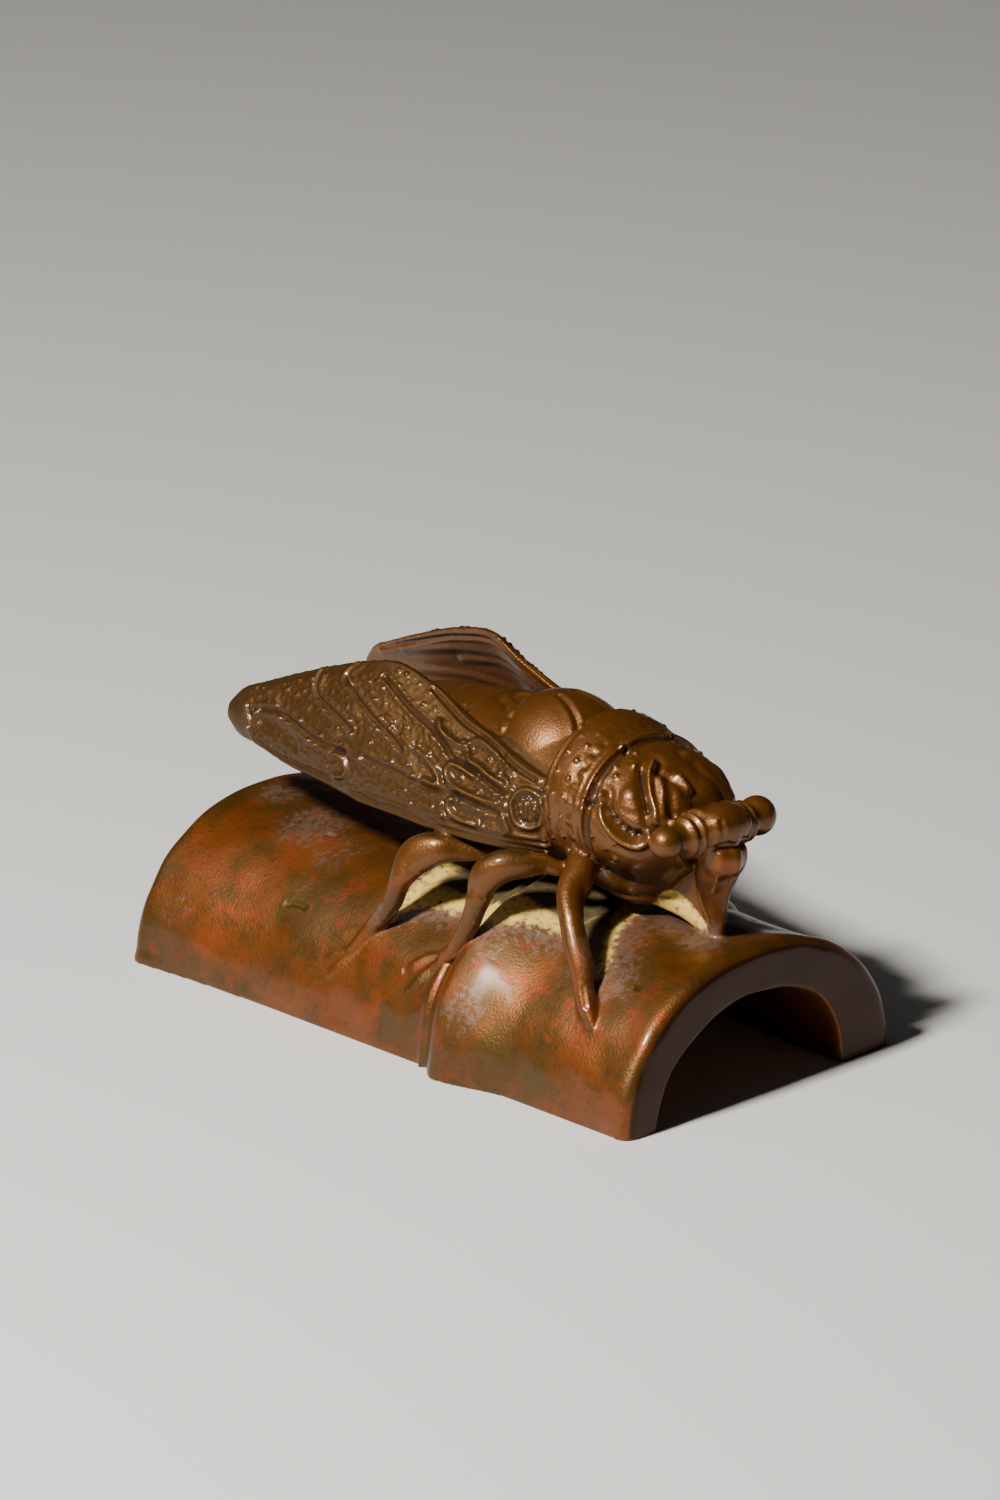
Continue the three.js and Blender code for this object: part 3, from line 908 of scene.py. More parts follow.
@dataclass
class Head:
    """The bar of the head with its ringed joints and eyes, the face and the beak."""

    bar_x: float = 41.0
    bar_z: float = 34.9
    bar: tuple = (
        (-8.6, 1.8), (-7.4, 2.0), (-6.3, 2.2), (-5.6, 3.05), (-4.9, 2.35), (-4.3, 3.3),
        (-3.7, 2.4), (-3.1, 3.35), (-2.0, 3.2), (0.0, 3.1), (2.0, 3.2), (3.0, 3.3), (3.5, 2.5),
        (4.0, 3.2), (4.6, 2.4), (5.2, 3.0), (5.8, 2.2), (6.6, 2.0), (7.6, 1.8),
    )
    eyes: tuple = (((41.3, -9.1, 34.9), 2.3), ((40.5, 8.2, 34.9), 2.75))
    brow_at: tuple = (42.7, 0.0, 36.0)
    brow_radii: tuple = (3.0, 4.2, 2.8)
    beak: tuple = (  # height, x and half sizes along and across
        (18.5, 41.0, 1.0, 1.0), (21.0, 41.0, 1.0, 1.0), (22.8, 41.2, 1.15, 1.1),
        (25.6, 40.9, 2.05, 2.0), (28.8, 41.5, 2.95, 2.9), (31.9, 42.2, 3.15, 3.15),
        (35.0, 41.2, 3.0, 3.4),
    )
    strut: tuple = (  # x, height and radius along the middle plane
        (24.0, 24.8, 1.7), (27.5, 24.5, 1.55), (30.4, 24.45, 1.4), (33.3, 24.2, 1.35),
        (35.8, 23.7, 1.3), (37.7, 22.9, 1.2), (39.2, 22.0, 1.1), (40.1, 21.0, 1.1),
        (40.5, 19.8, 1.1),
    )
    web: tuple = ((28.0, 25.0, 1.6), (32.0, 24.6, 1.1), (36.0, 24.0, 0.8), (40.0, 22.0, 0.7))
    web_top: float = 30.0
    eye_squeeze: float = 0.96  # of the eyes across
    sides: int = 40
    bar_steps: int = 96
    beak_steps: int = 34
    web_steps: int = 16
    web_sides: int = 15
    seam: tuple = ((45.4, 0, 33.5), (45.0, 1.8, 33.5), (43.6, 3.3, 33.5))
    lobe: tuple = (44.2, 1.9, 31.2)
    fold: tuple = ((44.6, 2.2, 32.6), (44.4, 2.2, 30.0), (43.2, 2.0, 27.6))
    keel: tuple = ((45.6, 0, 33.4), (45.4, 0, 31.6), (44.4, 0, 28.2), (43.2, 0, 25), (42, 0, 21.5))
    block: tuple = ((44.9, 2.4, 37.3), (45.6, 2.5, 36.0), (45.3, 2.4, 34.6))

    def build(self) -> list[bpy.types.Object]:
        """Draws the head's forms.

        Returns:
            The new objects.
        """
        cos, sin = circle(self.sides)
        bar = [points_at(self.bar_x + r * cos, y, self.bar_z + r * sin)
               for y, r in stations(self.bar, self.bar_steps)]
        beak = [points_at(x + deep * cos, wide * sin, z)
                for z, x, deep, wide in stations(self.beak, self.beak_steps)]
        web = [self.web_ring(*row) for row in stations(self.web, self.web_steps)]
        strut = Line([(x, 0.0, z) for x, z, _ in self.strut])
        return [
            loft("head_bar", bar),
            loft("beak", beak),
            egg("brow", self.brow_at, self.brow_radii),
            loft("web", web),
            tube("strut", strut, [radius for *_, radius in self.strut], count=28, steps=44),
            *(egg("eye", at, (radius, radius * self.eye_squeeze, radius)) for at, radius in self.eyes),
        ]

    def web_ring(self, x: float, low: float, half: float) -> np.ndarray:
        """A section of the web: flat above, round below.

        Args:
            x: The place along the body.
            low: The height of its underside.
            half: Half its width.

        Returns:
            The section's points.
        """
        turn = np.linspace(math.pi, TWO_PI, self.web_sides)
        under = points_at(x, half * np.cos(turn), low + half * (1 + np.sin(turn)))
        above = np.array([[x, half, self.web_top], [x, -half, self.web_top]])
        return np.concatenate([under, above])

    def dress(self, skin: Skin) -> None:
        """Cuts the seam under the brow, the folds of the face and the blocks on the brow.

        Args:
            skin: The fused skin.
        """
        front = unit(np.array([0.8, 0.0, 0.2]))
        for side in (NEAR_SIDE, FAR_SIDE):
            turn = np.array([1.0, side, 1.0])
            facing = unit(np.array([0.7, side * 0.5, 0.1]))
            skin.trace(turn * self.seam, Chisel.SEAM, facing, 0.35)
            skin.bead(turn * self.lobe, 2.3, 0.4, facing)
            skin.trace(turn * self.fold, Chisel.STREAK, facing)
        skin.trace(self.keel, Chisel.FACET, front)
        for side in (FAR_SIDE, NEAR_SIDE):
            skin.trace(np.array([1.0, side, 1.0]) * self.block, Chisel.VEIN, front, 0.7)


@dataclass
class Wing:
    """A folded wing: a curved plate with a rim, veins, cells and beads."""

    side: float
    upper_edge: tuple = (
        (20.6, 10.0, 38.6), (14.2, 9.8, 40.2), (2.5, 8.6, 43.4), (-6.8, 8.2, 46.6),
        (-12.4, 8.6, 47.8), (-19.6, 9.3, 46.3), (-29.4, 10.2, 43.0), (-37.0, 11.2, 40.0),
        (-40.4, 11.8, 38.6), (-42.4, 12.3, 36.4),
    )
    lower_edge: tuple = (
        (21.0, 10.8, 29.0), (13.5, 14.6, 29.2), (3.9, 15.9, 29.3), (-4.8, 16.1, 29.5),
        (-12.0, 16.0, 29.6), (-19.6, 15.5, 30.3), (-28.0, 14.7, 30.8), (-35.2, 14.0, 31.9),
        (-39.8, 13.5, 32.3), (-42.2, 13.0, 33.8),
    )
    far_dip: tuple = (0, 0.5, 1.0, 1.0, 0.2, 0, 0, 0, 0, 0)  # of the far wing's upper edge
    bulge: float = 0.065
    thickness: float = 1.8
    far_rise: float = 1.3
    upper: Line = field(init=False)
    lower: Line = field(init=False)

    # Places on the wing are its share from root to tip, and from upper to lower edge.
    VEINS = (
        ((0.72, 0.03), (0.72, 0.06), (0.717, 0.175), (0.697, 0.283), (0.663, 0.367),
         (0.627, 0.433), (0.59, 0.492), (0.565, 0.535)),
        ((0.61, 0.03), (0.622, 0.05), (0.633, 0.125), (0.597, 0.233), (0.547, 0.35),
         (0.497, 0.433), (0.457, 0.475), (0.413, 0.533)),
        ((0.897, 0.475), (0.857, 0.45), (0.807, 0.467), (0.763, 0.54), (0.727, 0.60),
         (0.683, 0.66), (0.64, 0.69), (0.575, 0.70)),
        ((0.513, 0.692), (0.473, 0.70), (0.42, 0.70), (0.373, 0.708), (0.32, 0.708),
         (0.263, 0.675), (0.213, 0.65), (0.163, 0.658), (0.117, 0.658)),
        ((0.52, 0.12), (0.46, 0.20), (0.407, 0.25), (0.353, 0.267), (0.307, 0.308),
         (0.27, 0.383), (0.237, 0.375), (0.197, 0.383), (0.157, 0.392), (0.127, 0.417),
         (0.107, 0.408)),
        ((0.917, 0.39), (0.90, 0.66), (0.887, 0.89)),
    )
    CELLS = (
        ((0.157, 0.108), (0.20, 0.108), (0.23, 0.133), (0.243, 0.217), (0.223, 0.308),
         (0.19, 0.31), (0.15, 0.335), (0.12, 0.33)),
        ((0.20, 0.415), (0.25, 0.415), (0.27, 0.44), (0.277, 0.508), (0.26, 0.575),
         (0.23, 0.59), (0.193, 0.59), (0.155, 0.58), (0.12, 0.56)),
        ((0.37, 0.48), (0.34, 0.50), (0.31, 0.545), (0.29, 0.60), (0.292, 0.64), (0.33, 0.655)),
        ((0.24, 0.70), (0.252, 0.75), (0.242, 0.82), (0.21, 0.845), (0.17, 0.84)),
        ((0.60, 0.735), (0.573, 0.76), (0.56, 0.83), (0.575, 0.88), (0.60, 0.90)),
    )
    CELL_FLOORS = (
        ((0.225, 0.20), (0.19, 0.205), (0.15, 0.22)),
        ((0.25, 0.50), (0.21, 0.49), (0.16, 0.48)),
        ((0.36, 0.56), (0.33, 0.59), (0.31, 0.61)),
        ((0.225, 0.77), (0.17, 0.76), (0.12, 0.75)),
        ((0.86, 0.62), (0.80, 0.66), (0.74, 0.76)),
    )
    WORM = ((0.337, 0.20), (0.317, 0.242), (0.293, 0.25), (0.27, 0.258), (0.253, 0.233))
    RING = ((0.087, 0.483), (0.08, 0.583), (0.067, 0.692), (0.04, 0.70), (0.016, 0.62),
            (0.007, 0.50), (0.006, 0.34), (0.023, 0.235), (0.053, 0.24), (0.078, 0.35),
            (0.087, 0.483))
    LONG_LINES = (
        ((0.36, 0.933), (0.303, 0.925), (0.23, 0.908), (0.16, 0.90), (0.10, 0.90), (0.0, 0.86)),
        ((0.55, 0.95), (0.45, 0.955), (0.33, 0.958), (0.26, 0.965), (0.18, 0.955), (0.0, 0.94)),
        ((0.397, 0.03), (0.34, 0.055), (0.273, 0.075), (0.213, 0.062), (0.143, 0.085),
         (0.10, 0.10), (0.043, 0.092)),
        ((0.88, 0.93), (0.80, 0.945), (0.70, 0.94), (0.62, 0.94)),
    )
    KNOBS = (
        ((0.857, 0.20), (0.85, 0.25)), ((0.828, 0.30), (0.815, 0.42)), ((0.70, 0.10), (0.695, 0.20)),
        ((0.62, 0.12), (0.60, 0.20)), ((0.575, 0.36), (0.55, 0.43)), ((0.63, 0.56), (0.60, 0.60)),
        ((0.475, 0.37), (0.455, 0.39)), ((0.42, 0.44), (0.385, 0.49)), ((0.88, 0.45), (0.893, 0.72)),
        ((0.11, 0.48), (0.10, 0.56)), ((0.115, 0.20), (0.10, 0.22)), ((0.10, 0.68), (0.085, 0.80)),
    )
    BARE_ZONES = (
        ((0.93, 0.0), (1.01, 0.0), (1.01, 1.0), (0.90, 1.0)),
        ((0.0, 0.0), (0.42, 0.0), (0.36, 0.13), (0.25, 0.19), (0.24, 0.09), (0.0, 0.11)),
        ((0.0, 0.84), (0.5, 0.90), (0.9, 0.90), (0.9, 1.0), (0.0, 1.0)),
        ((0.5, 0.0), (0.9, 0.0), (0.9, 0.12), (0.5, 0.1)),
    )
    STREAKS = ((0.17, 0.3, 0.84), (0.33, 0.12, 0.66), (0.5, 0.4, 0.9), (0.7, 0.2, 0.8))
    INNER_RIM = 0.07  # share from the upper edge
    RING_KNOBS = (((0.05, 0.42), (0.046, 0.54)), ((0.026, 0.33), (0.022, 0.44)))
    RING_AT, RING_RADII, RING_BEADS = (0.046, 0.47), (0.021, 0.13), 9
    COARSE_BEADS = (1.45, 0.75, 5)  # spacing, distance from the lines, and which scatter
    FINE_BEADS = (0.85, 0.5, 8)
    COARSE_RADIUS, COARSE_HEIGHT, COARSE_UNEVEN = 0.44, 0.2, 0.12
    FINE_BEAD = (0.34, 0.1)  # radius and height
    RING_BEAD = (0.42, 0.3)
    TRIES = 9000
    FIELD = ((0.09, 0.93), (0.04, 0.92))  # the shares that the scatters keep within
    EDGE, BODY_SHARE = 0.42, 0.58  # of the thickness: at the rim, and what the middle adds
    LENGTH, BREADTH = 60, 16  # about, in millimetres
    STEPS = 54
    SPANS = 24

    def __post_init__(self) -> None:
        """Draws the two edges on the wing's own side."""
        turn = np.array([1.0, self.side, 1.0])
        edge = np.array(self.upper_edge)
        if self.side > 0:
            edge[:, 2] -= self.far_dip
        self.upper = Line(turn * edge)
        self.lower = Line(turn * np.array(self.lower_edge))

    def surface(self, s: np.ndarray, t: np.ndarray, face: float = 1.0) -> np.ndarray:
        """Points on the wing.

        Args:
            s: Shares from root to tip.
            t: Shares from upper to lower edge.
            face: 1 for the outer face, -1 for the inner one.

        Returns:
            One point for each pair of shares.
        """
        top, foot = self.upper.at(s), self.lower.at(s)
        rise = self.far_rise * np.minimum(1, 1.5 * s) if self.side > 0 else 0 * s
        top[:, 2] += rise
        foot[:, 2] += rise
        outward = self.outward(top, foot)
        breadth = np.linalg.norm(top - foot, axis=1)
        crown = np.sin(math.pi * t)
        rim = self.EDGE + self.BODY_SHARE * np.minimum(1, 2 * crown)
        lift = self.bulge * breadth * crown + face * 0.5 * self.thickness * rim
        return top + (foot - top) * t[:, None] + outward * lift[:, None]

    def outward(self, top: np.ndarray, foot: np.ndarray) -> np.ndarray:
        """Where the outer face looks, between points of the two edges."""
        away = self.side * (top[:, 2] - foot[:, 2])
        return unit(points_at(0.0, away, np.abs(foot[:, 1] - top[:, 1])))

    def build(self) -> list[bpy.types.Object]:
        """Draws the wing from root to tip.

        Returns:
            The wing, in a list.
        """
        down = (1 - np.cos(np.linspace(0, math.pi, self.SPANS))) / 2
        rings = []
        for s in np.linspace(0, 1, self.STEPS):
            share = np.full(self.SPANS, s)
            outer = self.surface(share, down)
            inner = self.surface(share, down, -1.0)
            rings.append(np.concatenate([outer, inner[::-1]]))
        name = "near_wing" if self.side < 0 else "far_wing"
        return [loft(name, rings)]

    def line(self, places: Sequence[tuple[float, float]], face: float = 1.0) -> np.ndarray:
        """A smooth line on a face of the wing, through places on it.

        Args:
            places: Shares from root to tip and from upper to lower edge.
            face: 1 for the outer face, -1 for the inner one.

        Returns:
            Points along the line.
        """
        flat = np.array(places, float)
        laid = points_at(flat[:, 0] * self.LENGTH, flat[:, 1] * self.BREADTH, 0.0)
        middle = Line(laid).every(BROAD_STEP)
        return self.surface(middle[:, 0] / self.LENGTH, middle[:, 1] / self.BREADTH, face)

    def facing(self, face: float = 1.0) -> np.ndarray:
        """Roughly where a face of the wing looks."""
        return unit(np.array([0.0, self.side * 0.9, 0.35])) * face

    def dress(self, skin: Skin) -> None:
        """Works the veins, cells, knobs and beads of the outer face, and streaks inside.

        Args:
            skin: The fused skin.
        """
        out = self.facing()
        work = (
            (self.CELL_FLOORS, Chisel.CELL_FLOOR),
            (self.VEINS, Chisel.VEIN),
            (self.CELLS, Chisel.CELL_RIM),
            ((self.WORM,), Chisel.WORM),
            ((self.RING,), Chisel.CELL_RIM),
            (self.LONG_LINES, Chisel.LONG_LINE),
            (self.KNOBS, Chisel.KNOB),
        )
        for lines, chisel in work:
            for places in lines:
                skin.along(self.line(places), chisel, out)
        for at in self.scattered(*self.COARSE_BEADS):
            uneven = self.COARSE_UNEVEN * math.sin(97 * at[0])  # with no order to it
            skin.bead(at, self.COARSE_RADIUS, self.COARSE_HEIGHT + uneven, out)
        for at in self.scattered(*self.FINE_BEADS):
            skin.bead(at, *self.FINE_BEAD, out)
        self.bead_ring(skin, out)
        for t, start, stop in self.STREAKS:
            places = [(s, t + 0.04 * math.sin(7 * s + 23 * t)) for s in np.linspace(start, stop, 9)]
            skin.along(self.line(places, -1.0), Chisel.STREAK, self.facing(-1.0), 0.8)
        rim = [(s, self.INNER_RIM) for s in np.linspace(0.1, 0.92, 9)]
        skin.along(self.line(rim, -1.0), Chisel.LONG_LINE, self.facing(-1.0))

    def bead_ring(self, skin: Skin, out: np.ndarray) -> None:
        """Beads and two knobs inside the round cell at the wing's root.

        Args:
            skin: The fused skin.
            out: Roughly where the outer face looks.
        """
        turn = np.arange(0, TWO_PI, TWO_PI / self.RING_BEADS)
        s = self.RING_AT[0] + self.RING_RADII[0] * np.cos(turn)
        t = self.RING_AT[1] + self.RING_RADII[1] * np.sin(turn)
        for at in self.surface(s, t):
            skin.bead(at, *self.RING_BEAD, out)
        for places in self.RING_KNOBS:
            skin.along(self.line(places), Chisel.KNOB, out, 0.8)

    def scattered(self, spacing: float, clear: float, seed: int) -> list[np.ndarray]:
        """Beads scattered over the beaded part of the outer face.

        Args:
            spacing: The least distance from one to the next, in millimetres.
            clear: The distance that they keep from veins and rims.
            seed: Which scatter it is.

        Returns:
            Points on the outer face.
        """
        draw = np.random.default_rng(seed)
        s, t = (draw.uniform(low, high, self.TRIES) for low, high in self.FIELD)
        keep = ~np.any([inside(zone, s, t) for zone in self.BARE_ZONES], axis=0)
        s, t = s[keep], t[keep]
        points = self.surface(s, t)
        lines = (*self.VEINS, *self.CELLS, self.WORM, self.RING, *self.KNOBS)
        marks = np.concatenate([self.line(places) for places in lines])
        kept: list[np.ndarray] = []
        for point in points:
            if np.min(np.linalg.norm(marks - point, axis=1)) < clear:
                continue
            if kept and np.min(np.linalg.norm(np.array(kept) - point, axis=1)) < spacing:
                continue
            kept.append(point)
        return kept


def inside(outline: Sequence[tuple[float, float]], s: np.ndarray, t: np.ndarray) -> np.ndarray:
    """Which places lie inside an outline of shares on a wing.

    Args:
        outline: The outline's corners in order.
        s: Shares from root to tip.
        t: Shares from upper to lower edge.

    Returns:
        True for each place inside.
    """
    found = np.zeros(len(s), bool)
    corners = list(outline)
    for (s0, t0), (s1, t1) in zip(corners, corners[1:] + corners[:1]):
        crosses = (t0 > t) != (t1 > t)
        edge = s0 + (t - t0) * (s1 - s0) / ((t1 - t0) or 1e-9)
        found ^= crosses & (s < edge)
    return found


@dataclass
class Leg:
    """A jointed leg from the body to a foot that runs into the bamboo."""

    name: str
    side: float
    joints: Sequence[tuple[float, float, float, float]]  # x, distance out, height and radius

    def build(self) -> list[bpy.types.Object]:
        """Draws the leg from its hip to the tip of its foot."""
        table = np.array(self.joints) * (1.0, self.side, 1.0, 1.0)
        return [tube(self.name, Line(table[:, :3]), table[:, 3], count=28, steps=56)]


@dataclass
class Legs:
    """The six legs, and the toes that show on the bamboo as low ridges."""

    bamboo: SplitBamboo
    right_front: tuple = (
        (22.5, 5.5, 29.6, 2.40), (25.5, 9.5, 28.6, 2.16), (27.0, 11.5, 27.5, 2.16),
        (27.5, 13.4, 26.4, 1.96), (28.5, 15.0, 25.3, 1.82), (30.1, 16.4, 23.9, 1.73),
        (31.7, 17.4, 21.9, 1.65), (33.3, 18.2, 19.6, 1.55), (34.3, 18.8, 17.2, 1.42),
        (35.7, 19.4, 14.8, 1.55), (37.3, 20.2, 13.3, 1.08), (38.5, 21.0, 12.3, 0.27),
    )
    left_front: tuple = (
        (22.5, 5.5, 29.6, 2.3), (26.5, 8.2, 27.6, 1.9), (28.0, 11.4, 23.2, 1.5),
        (27.4, 14.2, 18.8, 1.3), (26.6, 18.4, 14.6, 1.1), (26.2, 20.6, 12.2, 0.5),
    )
    middle: tuple = (
        (24.5, 6.5, 27.6, 1.40), (22.7, 11.0, 27.5, 1.01), (21.3, 12.4, 28.0, 1.28),
        (19.8, 14.6, 28.2, 1.76), (18.0, 16.6, 28.1, 2.03), (16.3, 17.8, 27.1, 1.96),
        (14.7, 18.4, 25.5, 1.69), (13.9, 18.8, 23.6, 1.42), (13.2, 19.2, 21.3, 1.28),
        (12.2, 19.4, 19.0, 1.19), (10.9, 19.6, 16.8, 1.08), (8.9, 19.8, 14.5, 0.81),
        (7.4, 20.6, 12.7, 0.54),
    )
    hind: tuple = (
        (13.0, 6.5, 27.0, 1.30), (8.6, 13.0, 27.0, 1.08), (6.4, 15.2, 27.3, 1.49),
        (5.0, 16.6, 27.4, 1.82), (2.8, 17.4, 26.8, 2.09), (0.6, 18.2, 25.4, 1.89),
        (-1.2, 18.8, 22.9, 1.69), (-2.5, 19.1, 19.7, 1.49), (-4.4, 19.2, 17.0, 1.28),
        (-6.3, 19.3, 14.7, 1.15), (-7.6, 20.6, 12.8, 0.85), (-8.5, 21.6, 11.3, 0.43),
    )
    toes: tuple = (  # x and height of points on the bamboo
        ((11.0, 16.0), (9.4, 15.2), (5.7, 13.7), (3.6, 12.1)),
        ((9.6, 15.0), (6.6, 12.1), (5.6, 10.6), (4.9, 9.4)),
        ((-7.2, 12.6), (-10.0, 10.7), (-11.7, 9.6)),
        ((-7.8, 11.6), (-9.6, 9.3), (-10.5, 7.7)),
    )
    claw_slot: tuple = ((35.7, 20.2, 17.5), (36.9, 20.9, 15.4))
    claw_slot_depth: float = 0.4

    def build(self) -> list[bpy.types.Object]:
        """Draws all six legs.

        Returns:
            The new objects.
        """
        legs = [
            Leg("right_front_leg", NEAR_SIDE, self.right_front),
            Leg("left_front_leg", FAR_SIDE, self.left_front),
        ]
        for side, word in ((NEAR_SIDE, "right"), (FAR_SIDE, "left")):
            legs.append(Leg(f"{word}_middle_leg", side, self.middle))
            legs.append(Leg(f"{word}_hind_leg", side, self.hind))
        return [piece for leg in legs for piece in leg.build()]

    def dress(self, skin: Skin) -> None:
        """Raises the toes on the bamboo and cuts the slot between the front claws.

        Args:
            skin: The fused skin.
        """
        for side in (NEAR_SIDE, FAR_SIDE):
            facing = unit(np.array([0.0, side, 0.5]))
            for toe in self.toes:
                places = [(x, side * self.bamboo.half_width_at(x, z), z) for x, z in toe]
                skin.trace(places, Chisel.TOE, facing)
        slot = Line(np.array(self.claw_slot) * (1.0, NEAR_SIDE, 1.0)).every(0.3)
        facing = unit(np.array([0.5, NEAR_SIDE, 0.2]))
        skin.along(slot, Chisel.VEIN, facing, self.claw_slot_depth)


def linear(colour: str) -> tuple[float, float, float, float]:
    """An sRGB hex colour as linear red, green, blue and alpha.

    Args:
        colour: A hash sign and six digits.

    Returns:
        Four values from 0 to 1.
    """
    parts = [int(colour[k : k + 2], 16) / 255 for k in (1, 3, 5)]
    red, green, blue = (c / 12.92 if c <= 0.04045 else ((c + 0.055) / 1.055) ** 2.4 for c in parts)
    return red, green, blue, 1.0


def add_node(
    tree: bpy.types.NodeTree,
    kind: str,
    values: Mapping[str | int, object] | None = None,
    links: Mapping[str | int, bpy.types.NodeSocket] | None = None,
    **settings: object,
) -> bpy.types.Node:
    """Adds a node.

    Args:
        tree: The tree it goes in.
        kind: Its type.
        values: Its sockets' own values.
        links: What its sockets are linked to.
        settings: Its other settings.

    Returns:
        The new node.
    """
    node = tree.nodes.new(kind)
    for name, value in settings.items():
        setattr(node, name, value)
    for name, value in (values or {}).items():
        node.inputs[name].default_value = value
    for name, socket in (links or {}).items():
        tree.links.new(socket, node.inputs[name])
    return node


@dataclass(frozen=True)
class Seat:
    """How the insect sits on its bamboo: turned, leaning a little and not quite square to it."""

    turn_degrees: float = -2.4
    lean_degrees: float = -2.4
    lean_azimuth: float = 45.5  # of the axis it leans about, in degrees from +X
    growth: float = 1.0245
    shift: tuple[float, float, float] = (-0.38, 0.82, -0.60)
    still_below: float = 22.8
    whole_above: float = 28.0

    def matrix(self) -> np.ndarray:
        """The turn, the lean and the growth as one matrix.

        Returns:
            Three rows of three.
        """
        way = math.radians(self.lean_azimuth)
        axis = Vector((math.cos(way), math.sin(way), 0.0))
        turn = Matrix.Rotation(math.radians(self.turn_degrees), 3, "Z")
        lean = Matrix.Rotation(math.radians(self.lean_degrees), 3, axis)
        return self.growth * np.array(lean @ turn)

    def move(self, co: np.ndarray) -> np.ndarray:
        """Seats the insect, and leaves the bamboo where it is.

        Args:
            co: Points of the casting, in millimetres.

        Returns:
            The same points, moved where they belong to the insect.
        """
        share = smooth_step(co[:, 2], self.still_below, self.whole_above)[:, None]
        return co + share * (co @ self.matrix().T + self.shift - co)


@dataclass(frozen=True)
class Tone:
    """One tone of the patina, laid over the tones before it.

    It shows where its mask plus the pattern times the edge climbs from low to high.
    """

    colour: str
    mask: str
    pattern: str
    edge: float
    low: float
    high: float
    most: float = 1.0


